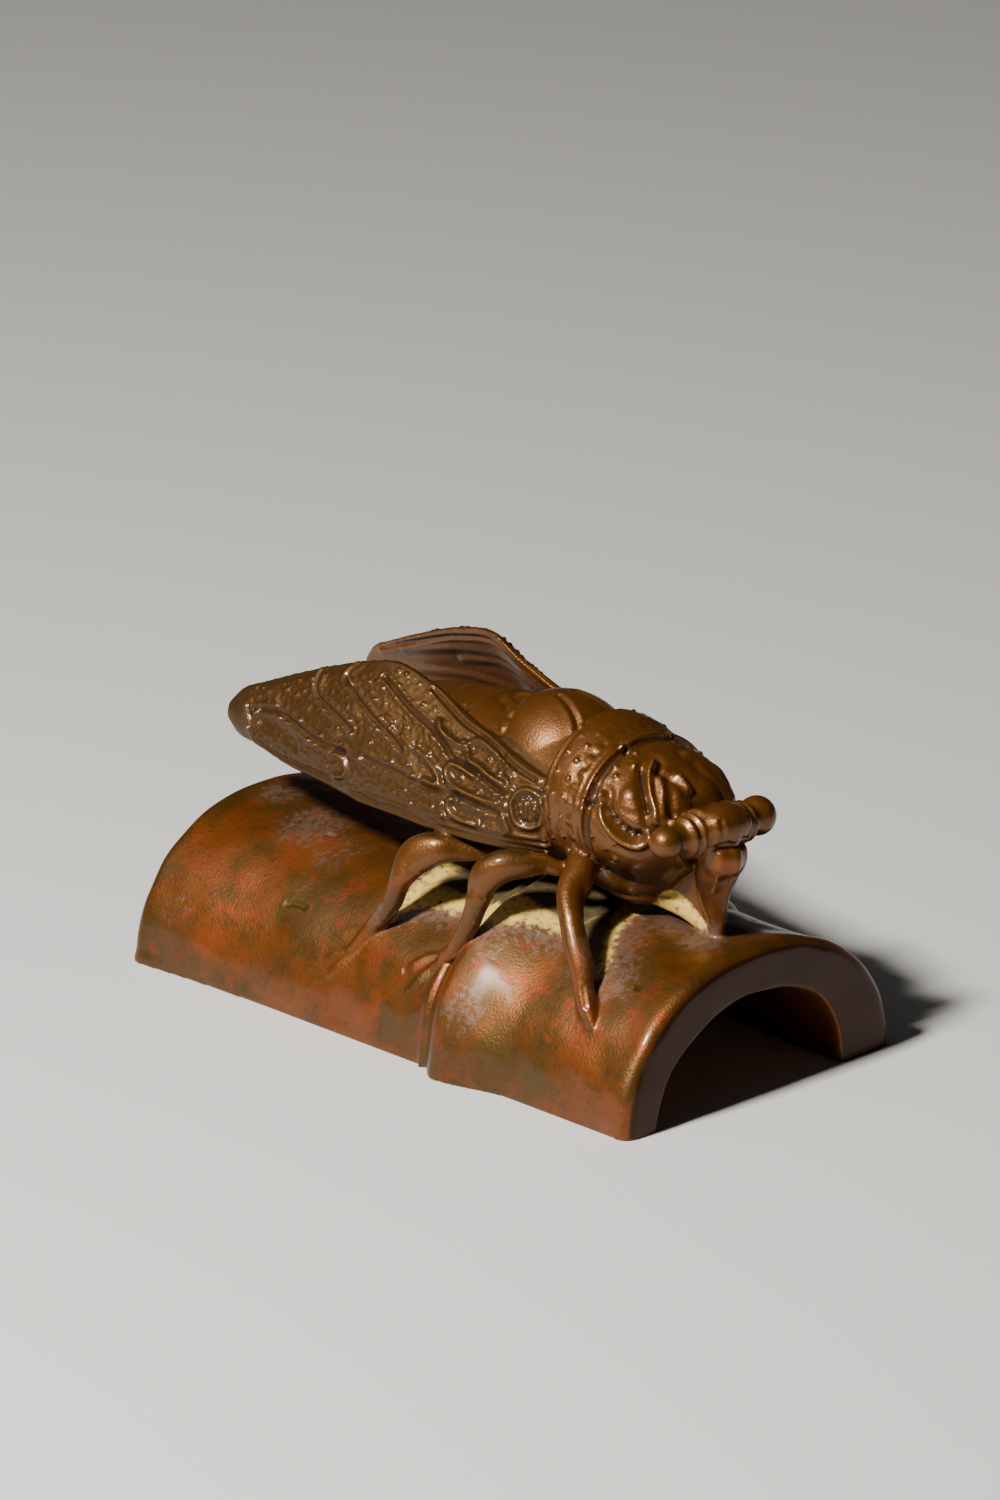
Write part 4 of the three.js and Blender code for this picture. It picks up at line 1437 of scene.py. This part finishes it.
@dataclass(frozen=True)
class PatinatedBronze:
    """Cast bronze browned with heat and chemicals, then waxed and rubbed.

    The brown is a thin translucent oxide over metal, so the colour is deep and warm and the
    gloss of the wax lies over it. Rubbed ridges turn to bare metal, and hollows stay dark.
    The same near-black tone is painted as shadow on the culm under the insect.
    """

    name: str = "waxed_bronze_patina"
    ground: str = "#723A04"
    patterns: tuple = (  # name, size of the lumps in millimetres, detail and roughness
        ("cloud", 11.0, 3.0, 0.55), ("mottle", 3.4, 6.0, 0.62), ("speckle", 0.9, 4.0, 0.6),
        ("grain", 0.4, 3.0, 0.6),
    )
    tones: tuple = (
        Tone("#4E3304", "everywhere", "cloud", 1.0, 0.38, 0.58, 0.9),
        Tone("#742F02", "everywhere", "mottle", 1.0, 0.51, 0.64, 0.75),
        Tone("#3A2003", "everywhere", "speckle", 1.0, 0.50, 0.72, 0.5),
        Tone("#62390C", "insect", "mottle", 0.3, 0.55, 1.05, 0.88),
        Tone("#442A04", "wing", "speckle", 0.5, 0.5, 1.0, 0.92),
        Tone("#823A04", "red", "mottle", 3.0, 2.2, 2.7, 0.8),
        Tone("#4A3A06", "olive", "mottle", 3.0, 2.15, 2.7, 0.75),
        Tone("#6E5444", "mauve", "speckle", 2.4, 1.65, 2.3, 0.8),
        Tone("#CCA850", "bare", "speckle", 1.8, 1.3, 2.0),
        Tone("#361804", "shade", "mottle", 0.5, 0.4, 1.1, 0.95),
        # near black: dark patina in the relief's hollows, and painted shadow on the culm under the
        # insect
        Tone("#120903", "hollow_and_painted_shadow", "speckle", 0.2, 0.15, 1.0, 0.9),
        Tone("#9A6A30", "wear", "speckle", 0.4, 0.4, 1.2, 0.4),
    )
    metallic: float = 0.66
    metal: tuple = (("insect", -0.06), ("wing", 0.16), ("wear", 0.1), ("shade", 0.25), ("bare", -0.7))
    roughness: float = 0.36
    grain_roughness: float = 0.2
    duller: tuple = (("hollow_and_painted_shadow", 0.25), ("bare", 0.3), ("wing", 0.2), ("shade", 0.2), ("mauve", 0.16),
                     ("insect", -0.07), ("wear", -0.1))
    wax: float = 0.35
    wax_roughness: float = 0.16
    relief_depth: float = 0.11
    relief_strength: float = 0.7
    speckle_share: float = 0.35  # of the coarser lumps in the relief

    def build(self) -> bpy.types.Material:
        """Makes the material.

        Returns:
            The material.
        """
        material = bpy.data.materials.new(self.name)
        material.use_nodes = True
        tree = material.node_tree
        tree.nodes.clear()
        place = add_node(tree, "ShaderNodeTexCoord").outputs["Object"]
        pattern = {}
        for name, size, detail, rough in self.patterns:
            values = {"Scale": 1 / (size * METRES), "Detail": detail, "Roughness": rough}
            node = add_node(tree, "ShaderNodeTexNoise", values, {"Vector": place})
            pattern[name] = node.outputs[0]
        masks = {}
        for name in Patina.NAMES:
            node = add_node(tree, "ShaderNodeAttribute", attribute_name=name)
            masks[name] = node.outputs["Fac"]
        colour = self.lay_tones(tree, pattern, masks)
        rough = add_node(tree, "ShaderNodeMath", {1: self.grain_roughness, 2: self.roughness},
                         {0: pattern["mottle"]}, operation="MULTIPLY_ADD")
        relief = add_node(tree, "ShaderNodeMath", {1: self.speckle_share},
                          {0: pattern["speckle"], 2: pattern["grain"]}, operation="MULTIPLY_ADD")
        bump = add_node(tree, "ShaderNodeBump",
                        {"Strength": self.relief_strength, "Distance": self.relief_depth * METRES},
                        {"Height": relief.outputs[0]})
        shader = add_node(
            tree, "ShaderNodeBsdfPrincipled",
            {"Coat Weight": self.wax, "Coat Roughness": self.wax_roughness},
            {"Base Color": colour, "Normal": bump.outputs[0],
             "Metallic": self.add_up(tree, self.metallic, self.metal, masks),
             "Roughness": self.add_up(tree, rough.outputs[0], self.duller, masks)},
        )
        add_node(tree, "ShaderNodeOutputMaterial", None, {"Surface": shader.outputs[0]})
        return material

    def lay_tones(self, tree: bpy.types.NodeTree, pattern: Mapping[str, bpy.types.NodeSocket],
                  masks: Mapping[str, bpy.types.NodeSocket]) -> bpy.types.NodeSocket:
        """Lays the tones one over another.

        Args:
            tree: The material's nodes.
            pattern: The noises by name.
            masks: The masks by name.

        Returns:
            The colour.
        """
        colour = linear(self.ground)
        for tone in self.tones:
            ragged = add_node(tree, "ShaderNodeMath", {1: tone.edge, 2: 0.0},
                              {0: pattern[tone.pattern]}, operation="MULTIPLY_ADD")
            if tone.mask in masks:
                tree.links.new(masks[tone.mask], ragged.inputs[2])
            share = add_node(tree, "ShaderNodeMapRange", {1: tone.low, 2: tone.high, 4: tone.most},
                             {0: ragged.outputs[0]}, interpolation_type="SMOOTHSTEP")
            values, links = {7: linear(tone.colour)}, {0: share.outputs[0]}
            (values if isinstance(colour, tuple) else links)[6] = colour
            colour = add_node(tree, "ShaderNodeMix", values, links, data_type="RGBA").outputs[2]
        return colour

    def add_up(self, tree: bpy.types.NodeTree, start: float | bpy.types.NodeSocket,
               amounts: Sequence[tuple[str, float]],
               masks: Mapping[str, bpy.types.NodeSocket]) -> bpy.types.NodeSocket:
        """Changes a value by an amount under each of some masks.

        Args:
            tree: The material's nodes.
            start: The value everywhere else.
            amounts: The masks' names and how much each adds.
            masks: The masks by name.

        Returns:
            The value, kept between 0 and 1.
        """
        for name, amount in amounts:
            values, links = {1: amount}, {0: masks[name]}
            (values if isinstance(start, float) else links)[2] = start
            node = add_node(tree, "ShaderNodeMath", values, links, operation="MULTIPLY_ADD",
                            use_clamp=True)
            start = node.outputs[0]
        return start


@dataclass(frozen=True)
class Spot:
    """A soft-edged patch of a colour on the casting, in millimetres."""

    at: tuple[float, float, float]
    radius: float
    strength: float = 1.0


class Patina:
    """Where each tone of the patina lies, and where shadow is painted, as masks on the skin."""

    NAMES = ("insect", "wing", "red", "olive", "mauve", "bare", "shade", "hollow_and_painted_shadow", "wear")
    RED = (
        Spot((-44.8, -17.4, 15.9), 2.6), Spot((-34.2, -23.8, 7.1), 5.0),
        Spot((-30.0, -24.0, 6.0), 14.0, 0.55), Spot((-41.9, -22.9, 9.4), 4.0, 0.6),
        Spot((-2.0, -24.6, 4.4), 4.2), Spot((0.6, -23.6, 7.6), 3.0),
        Spot((23.3, -18.2, 15.9), 5.0, 0.7), Spot((32.0, -22.4, 10.3), 4.0, 0.8),
        Spot((10.4, -16.8, 16.6), 4.5, 0.6), Spot((44.4, -10.5, 19.9), 5.0, 0.5),
        Spot((48.0, 17, 12.0), 5.0, 0.6), Spot((45, -1, 31.6), 3.6, 0.9),
        Spot((42.0, -3.2, 30.1), 2.8, 0.9), Spot((41.0, 8.4, 35.4), 4.0, 0.9),
        Spot((-20, 14, 18), 8.0, 0.6), Spot((12, 20, 15), 7.0, 0.7), Spot((-40, 8, 19), 5.0, 0.5),
        Spot((30, 22, 9), 6.0, 0.6), Spot((-12, 23, 7), 5.0, 0.6), Spot((17.6, -22.5, 13.9), 4.0, 0.5),
        Spot((-9.0, 10.5, 46.0), 10.0, 0.85), Spot((2.0, 10.5, 42.0), 8.0, 0.8),
    )
    OLIVE = (
        Spot((23.5, -24.5, 6.3), 6.0), Spot((31.9, -24.6, 4.3), 6.0),
        Spot((40.9, -24.7, 3.9), 5.0, 0.8), Spot((-21.3, -19.8, 13.7), 3.6),
        Spot((-16.5, -19.7, 13.9), 3.0, 0.8), Spot((-24.3, -21.6, 11.5), 3.0, 0.6),
        Spot((-39.6, -20.4, 13.0), 3.0, 0.7), Spot((-9.5, -22.9, 9.2), 6.0, 0.6),
        Spot((-30, 21, 12), 6.0, 0.7), Spot((0, 22, 11), 6.0, 0.6),
    )
    MAUVE = (
        Spot((40.7, -2.2, 21.2), 5.0), Spot((34.5, 0, 21.3), 6.0), Spot((26.7, -3.2, 21.2), 6.0),
        Spot((-42, -2.2, 21.2), 6.0, 0.8), Spot((-30.0, -7.6, 20.5), 8.0, 0.8),
        Spot((-22.4, -11.5, 19.3), 6.0, 0.6), Spot((15.5, -19.8, 17.4), 5.0, 0.5),
        # the patch at (17.1, -24.9, 10.4) is a painted highlight: pale mauve where the key light's
        # highlight lies on the swell ahead of the node
        Spot((-41.8, -23.1, 8.8), 5.0, 0.5), Spot((17.1, -24.9, 10.4), 5.0, 0.8),
        Spot((30.0, -10.0, 20.0), 6.0, 0.6),
    )
    SPOT_EDGE = (0.35, 1.25)  # where a patch starts and ends to fade, in shares of its radius

    INSECT_FOOT, CULM_TOP = (22.5, 24.5), (22.5, 25.0)  # heights where one turns to the other
    END_TURN, END_TOP, END_AT = (0.75, 0.98), (21.5, 22.5), (47.0, 48.0)  # the front end face
    UNDERSIDE = (0.3, 0.75)  # how far down a normal points on the insect's underside
    BREAST = (23.5, 25.0)  # x where the painted shadow below the body ends
    HOLLOW, RIDGE = (0.03, 0.26), (0.05, 0.28)  # how far sunk or raised the relief counts as one
    DUST = 0.9
    BARE_REACH = (  # x, and how far out the bare metal under the insect reaches there
        (-8.0, 18.0), (-4.3, 18.8), (-3.0, 16.8), (1.4, 14.4), (7.0, 13.8), (11.0, 16.5),
        (14.5, 17.6), (16.2, 16.0), (18.0, 14.8), (21.0, 13.3), (23.5, 12.3), (27.0, 12.6),
        (31.0, 14.2), (35.0, 16.8),
    )
    BARE_FRONT = ((0.0, 28.2), (2.2, 28.7), (8.0, 30.7), (13.2, 34.3), (16.8, 35.6))
    # distance out and x of the edge of the painted shadow ahead of the breast
    SHADE_FRONT = ((0.9, 24.5), (4.1, 25.8), (8.8, 28.9), (12.9, 32.3), (16.6, 34.8), (17.4, 24.0))

    def __init__(self, co: np.ndarray, normal: np.ndarray, carved: np.ndarray) -> None:
        """Works out the masks.

        Args:
            co: The skin's points, in millimetres.
            normal: Its normals.
            carved: How far each point stands above its surroundings.
        """
        self.co, self.normal, self.carved = co, normal, carved

    def spots(self, spots: Sequence[Spot]) -> np.ndarray:
        """The combined strength of some patches.

        Args:
            spots: The patches.

        Returns:
            A strength from 0 to 1 for each point.
        """
        value = np.zeros(len(self.co))
        for spot in spots:
            away = np.linalg.norm(self.co - spot.at, axis=1) / spot.radius
            value = np.maximum(value, spot.strength * fall(away, *self.SPOT_EDGE))
        return value

    def masks(self) -> dict[str, np.ndarray]:
        """Every mask by name, from limits in millimetres of x, height and distance out.

        Returns:
            For each name, a value from 0 to 1 for each point.
        """
        x, y, z = self.co.T
        out = np.abs(y)
        insect, culm = smooth_step(z, *self.INSECT_FOOT), fall(z, *self.CULM_TOP)
        reach = np.interp(x, *zip(*self.BARE_REACH)) - out
        front = np.interp(out, *zip(*self.BARE_FRONT)) - x
        dusty = culm * smooth_step(x, -12, -4) * smooth_step(reach, -6.5, 0)
        dusty *= smooth_step(front, -11, -1) * smooth_step(z, 13, 17)
        end = smooth_step(self.normal[:, 0], *self.END_TURN) * fall(z, *self.END_TOP)
        fin = self.fin(x, out, z)
        under = insect * smooth_step(-self.normal[:, 2], *self.UNDERSIDE) * (1 - fin)
        return {
            "insect": insect,
            "wing": insect * self.wings(x, y, z),
            "red": self.spots(self.RED),
            "olive": self.spots(self.OLIVE) * culm,
            "mauve": np.maximum(self.spots(self.MAUVE) * culm, self.DUST * dusty),
            "bare": np.maximum(culm * self.bare(x, z, reach, front), fin),
            # dark patina in the relief's hollows, and painted shadow where the insect shades the culm
            "hollow_and_painted_shadow": np.maximum(smooth_step(-self.carved, *self.HOLLOW),
                                 culm * self.below(x, out, reach)),
            "shade": np.maximum(end * smooth_step(x, *self.END_AT), under),
            "wear": smooth_step(self.carved, *self.RIDGE),
        }

    def wings(self, x: np.ndarray, y: np.ndarray, z: np.ndarray) -> np.ndarray:
        """The outer faces of both wings: behind the root, beside and below the upper edge.

        Args:
            x: The places along the casting.
            y: The places across it.
            z: The heights.

        Returns:
            The mask.
        """
        edge_x, edge_out, edge_z = np.array(Wing.upper_edge)[::-1].T
        beside = np.abs(y) - np.interp(x, edge_x, edge_out)
        above = z - np.interp(x, edge_x, edge_z) - np.where(y > 0, Wing.far_rise, 0)
        wing = fall(x, 19.8, 21.2) * smooth_step(beside, -1.5, -0.5)
        wing *= smooth_step(z, 28.0, 29.5) * fall(above, 0.8, 1.8)
        return wing * smooth_step(self.normal[:, 1] * np.sign(y), -0.35, 0.05)

    def fin(self, x: np.ndarray, out: np.ndarray, z: np.ndarray) -> np.ndarray:
        """The bare strut between the beak and the breast, close to its own middle line.

        Args:
            x: The places along the casting.
            out: The distances from the middle plane.
            z: The heights.

        Returns:
            The mask.
        """
        strut_x, strut_z, _ = np.array(Head.strut).T
        across = np.abs(z - np.interp(x, strut_x, strut_z))
        fin = smooth_step(x, 29, 31) * fall(x, 40, 41) * fall(across, 1.2, 1.9)
        return fin * fall(out, 1.6, 2.4) * smooth_step(z, 21.3, 22.0)

    def bare(self, x: np.ndarray, z: np.ndarray, reach: np.ndarray, front: np.ndarray) -> np.ndarray:
        """The bare metal under the insect, on the upward parts of the culm."""
        bare = smooth_step(x, -8, -4) * smooth_step(reach, -1.6, 1.8) * smooth_step(front, -1.0, 1.4)
        return bare * smooth_step(z, 12.0, 15.0) * smooth_step(self.normal[:, 2], -0.2, 0.3)

    def below(self, x: np.ndarray, out: np.ndarray, reach: np.ndarray) -> np.ndarray:
        """Painted shadow on the culm, between the insect and the culm and ahead of it beside the leg.

        Args:
            x: The places along the casting.
            out: The distances from the middle plane.
            reach: How far inside the bare metal's outer limit they are.

        Returns:
            The mask.
        """
        below = smooth_step(x, -4, -1.5) * fall(x, *self.BREAST) * fall(out, 9.8, 11.0)
        behind = np.interp(out, *zip(*self.SHADE_FRONT)) - x
        ahead = smooth_step(x, *self.BREAST) * smooth_step(behind, -0.3, 0.6)
        return np.maximum(below, ahead * smooth_step(reach, -0.2, 1.0))


class Casting:
    """The whole bronze, fused from its forms."""

    NAME = "cicada_casting"
    VOXEL = 0.24  # the skin's fineness before it is thinned
    QUICK_VOXEL = 0.42
    MOST_TRIANGLES = 196000
    BLEND_STEPS = 9
    LEVEL_STEPS, LEVEL_SHARE = 9, 0.6  # how far the surroundings of a point are evened out

    def __init__(self) -> None:
        """Sets out the sub-assemblies."""
        self.bamboo = SplitBamboo()
        self.parts = [
            self.bamboo, Trunk(), Head(), Wing(NEAR_SIDE), Wing(FAR_SIDE), Legs(self.bamboo),
        ]

    def build(self) -> bpy.types.Object:
        """Builds, carves and finishes the casting.

        Returns:
            The casting.
        """
        forms = []
        for part in self.parts:
            made = part.build()
            log.info("%s: %d forms", type(part).__name__, len(made))
            forms.extend(made)
        piece = self.fuse(forms)
        skin = Skin(piece)
        for part in self.parts:
            part.dress(skin)
        skin.press()
        log.info("skin: %d points carved", len(skin.co))
        carved = self.standing(skin)
        seated = Seat().move(skin.co)
        write_places(piece, seated)
        self.thin(piece)
        self.place(piece, seated, skin.co, carved)
        return piece

    def fuse(self, forms: Sequence[bpy.types.Object]) -> bpy.types.Object:
        """Joins the forms into one skin without inner walls, and softens where they meet.

        Args:
            forms: The forms, in millimetres.

        Returns:
            The one object that is left.
        """
        select_only(*forms)
        bpy.ops.object.join()
        piece = bpy.context.object
        piece.name = piece.data.name = self.NAME
        fineness = self.VOXEL
        self.apply(piece, "REMESH", mode="VOXEL", voxel_size=fineness, use_smooth_shade=True)
        self.keep_outer_skin(piece)
        self.apply(piece, "SMOOTH", factor=0.5, iterations=self.BLEND_STEPS)
        log.info("fused: %d points", len(piece.data.vertices))
        return piece

    def apply(self, piece: bpy.types.Object, kind: str, **settings: object) -> None:
        """Adds a modifier with its settings and applies it.

        Args:
            piece: The object.
            kind: The modifier's type.
            settings: Its settings.
        """
        modifier = piece.modifiers.new(kind.lower(), kind)
        for name, value in settings.items():
            setattr(modifier, name, value)
        bpy.context.view_layer.objects.active = piece
        bpy.ops.object.modifier_apply(modifier=modifier.name)

    def keep_outer_skin(self, piece: bpy.types.Object) -> None:
        """Deletes any skin that is shut inside the metal.

        Args:
            piece: The fused object.
        """
        select_only(piece)
        bpy.ops.object.mode_set(mode="EDIT")
        bpy.ops.mesh.select_mode(type="VERT")
        bpy.ops.mesh.select_all(action="DESELECT")
        mesh = bmesh.from_edit_mesh(piece.data)
        mesh.verts.ensure_lookup_table()
        heights = np.array([v.co.z for v in mesh.verts])
        mesh.verts[int(heights.argmax())].select_set(True)
        bmesh.update_edit_mesh(piece.data)
        bpy.ops.mesh.select_linked()
        bpy.ops.mesh.select_all(action="INVERT")
        bpy.ops.mesh.delete(type="VERT")
        bpy.ops.object.mode_set(mode="OBJECT")

    def standing(self, skin: Skin) -> np.ndarray:
        """How far each point stands above the skin round it, in millimetres.

        Args:
            skin: The carved skin.

        Returns:
            One distance for each point, below zero in hollows.
        """
        piece = skin.piece
        edges = np.zeros(len(piece.data.edges) * 2, np.int64)
        piece.data.edges.foreach_get("vertices", edges)
        first, second = edges.reshape(-1, 2).T
        count = len(skin.co)
        degree = np.bincount(np.concatenate([first, second]), minlength=count)[:, None]
        level = skin.co.copy()
        for _ in range(self.LEVEL_STEPS):
            total = np.zeros_like(level)
            for k in range(3):
                total[:, k] += np.bincount(first, level[second, k], count)
                total[:, k] += np.bincount(second, level[first, k], count)
            level = (1 - self.LEVEL_SHARE) * level + self.LEVEL_SHARE * total / np.maximum(degree, 1)
        return np.einsum("ij,ij->i", skin.co - level, skin.normal)

    def thin(self, piece: bpy.types.Object) -> None:
        """Takes triangles out of the plain parts, until the skin is light enough.

        Args:
            piece: The carved and seated casting.
        """
        triangles = sum(len(polygon.vertices) - 2 for polygon in piece.data.polygons)
        self.apply(piece, "DECIMATE", ratio=min(1.0, self.MOST_TRIANGLES / triangles),
                   use_collapse_triangulate=True)
        log.info("thinned: %d faces from %d triangles", len(piece.data.polygons), triangles)

    def place(self, piece: bpy.types.Object, dense: np.ndarray, square: np.ndarray,
              carved: np.ndarray) -> None:
        """Brings the skin to metres inside the CAD box, and lays the patina's masks on it.

        Args:
            piece: The thinned casting.
            dense: The skin's points before it was thinned.
            square: The same points before the insect was seated.
            carved: How far each of them stands above its surroundings.
        """
        co = read_rows(piece.data.vertices, "co")
        normal = read_rows(piece.data.vertex_normals, "vector").astype(float)
        tree = KDTree(len(dense))
        for index, point in enumerate(dense):
            tree.insert(point, index)
        tree.balance()
        nearest = np.array([tree.find(point)[1] for point in co])
        masks = Patina(square[nearest], normal, carved[nearest]).masks()
        metres = np.clip(co * METRES, np.array(LOW), np.array(HIGH))
        write_places(piece, metres)
        for name, values in masks.items():
            layer = piece.data.attributes.new(name, "FLOAT", "POINT")
            layer.data.foreach_set("value", values.astype(np.float32))
        piece.data.materials.clear()
        piece.data.materials.append(PatinatedBronze().build())
        select_only(piece)
        bpy.ops.object.shade_smooth()
        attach(piece, BODY)
        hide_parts(CAD_NODE)


@dataclass
class Studio:
    """A pale floor, soft lights and the camera."""

    azimuth: float = 45.5
    elevation: float = 19.7
    distance: float = 1300.0
    across: float = -0.6
    above: float = 35.29
    pixels_per_mm: float = 7.15
    image_height: float = 1500.0
    film: float = 36.0
    floor_size: float = 12.0  # in metres
    floor_roughness: float = 0.75
    aim_height: float = 0.02  # of the lamps, in metres
    clip_start: float = 0.05
    floor_colour: str = "#CFCBC4"
    world_colour: str = "#C8C8CC"
    world_strength: float = 0.04
    lamps: tuple = (  # name, azimuth, elevation, distance in metres, size in metres and watts
        ("key", 0.0, 47.5, 0.75, 0.09, 13.0),
        ("fill", -50.0, 50.0, 0.9, 0.7, 0.5),
    )

    def toward(self, azimuth: float, elevation: float) -> np.ndarray:
        """The direction from the object to a place round it, in degrees.

        Args:
            azimuth: Degrees from -Y towards +X.
            elevation: Degrees above the horizon.

        Returns:
            A direction of length one.
        """
        turn, rise = math.radians(azimuth), math.radians(elevation)
        flat = math.cos(rise)
        return np.array([math.sin(turn) * flat, -math.cos(turn) * flat, math.sin(rise)])

    def build(self) -> None:
        """Makes the floor, the lights and the camera."""
        self.make_floor()
        self.make_world()
        for lamp in self.lamps:
            self.make_light(*lamp)
        self.make_camera()

    def make_floor(self) -> None:
        """A plain pale floor of matt card."""
        select_only()
        bpy.ops.mesh.primitive_plane_add(size=self.floor_size)
        floor = bpy.context.object
        floor.name = "floor"
        material = bpy.data.materials.new("matt_card")
        material.use_nodes = True
        shader = material.node_tree.nodes["Principled BSDF"]
        shader.inputs["Base Color"].default_value = linear(self.floor_colour)
        shader.inputs["Roughness"].default_value = self.floor_roughness
        floor.data.materials.append(material)

    def make_world(self) -> None:
        """Even light from all round."""
        world = bpy.data.worlds.new("studio")
        world.use_nodes = True
        back = world.node_tree.nodes["Background"]
        back.inputs["Color"].default_value = linear(self.world_colour)
        back.inputs["Strength"].default_value = self.world_strength
        bpy.context.scene.world = world

    def make_light(self, name: str, azimuth: float, elevation: float, distance: float,
                   size: float, power: float) -> None:
        """A softbox turned to the object.

        Args:
            name: Its name.
            azimuth: Its direction from the object, in degrees from -Y towards +X.
            elevation: Its height above the horizon, in degrees.
            distance: Its distance in metres.
            size: The side of its square front in metres.
            power: Its power in watts.
        """
        at = Vector(self.toward(azimuth, elevation) * distance)
        bpy.ops.object.light_add(type="AREA", location=at)
        lamp = bpy.context.object
        lamp.name = name
        lamp.data.size = size
        lamp.data.energy = power
        lamp.rotation_euler = (at - Vector((0, 0, self.aim_height))).to_track_quat("Z", "Y").to_euler()

    def make_camera(self) -> None:
        """A long lens at the photograph's angle."""
        back = self.toward(self.azimuth, self.elevation)
        turn = math.radians(self.azimuth)
        right = np.array([math.cos(turn), math.sin(turn), 0.0])
        up = np.cross(back, right)
        place = right * self.across + up * self.above + back * self.distance
        bpy.ops.object.camera_add(location=Vector(place * METRES))
        camera = bpy.context.object
        camera.name = "camera"
        camera.rotation_euler = Vector(back).to_track_quat("Z", "Y").to_euler()
        camera.data.sensor_fit = "VERTICAL"
        camera.data.sensor_height = self.film
        camera.data.lens = self.pixels_per_mm * self.distance * self.film / self.image_height
        camera.data.clip_start = self.clip_start
        bpy.context.scene.camera = camera


def main() -> None:
    """Builds the casting and the studio."""
    logging.basicConfig(level=logging.INFO, format="%(message)s")
    piece = Casting().build()
    log.info("%s: %d faces", piece.name, len(piece.data.polygons))
    Studio().build()


if __name__ == "__main__":
    main()
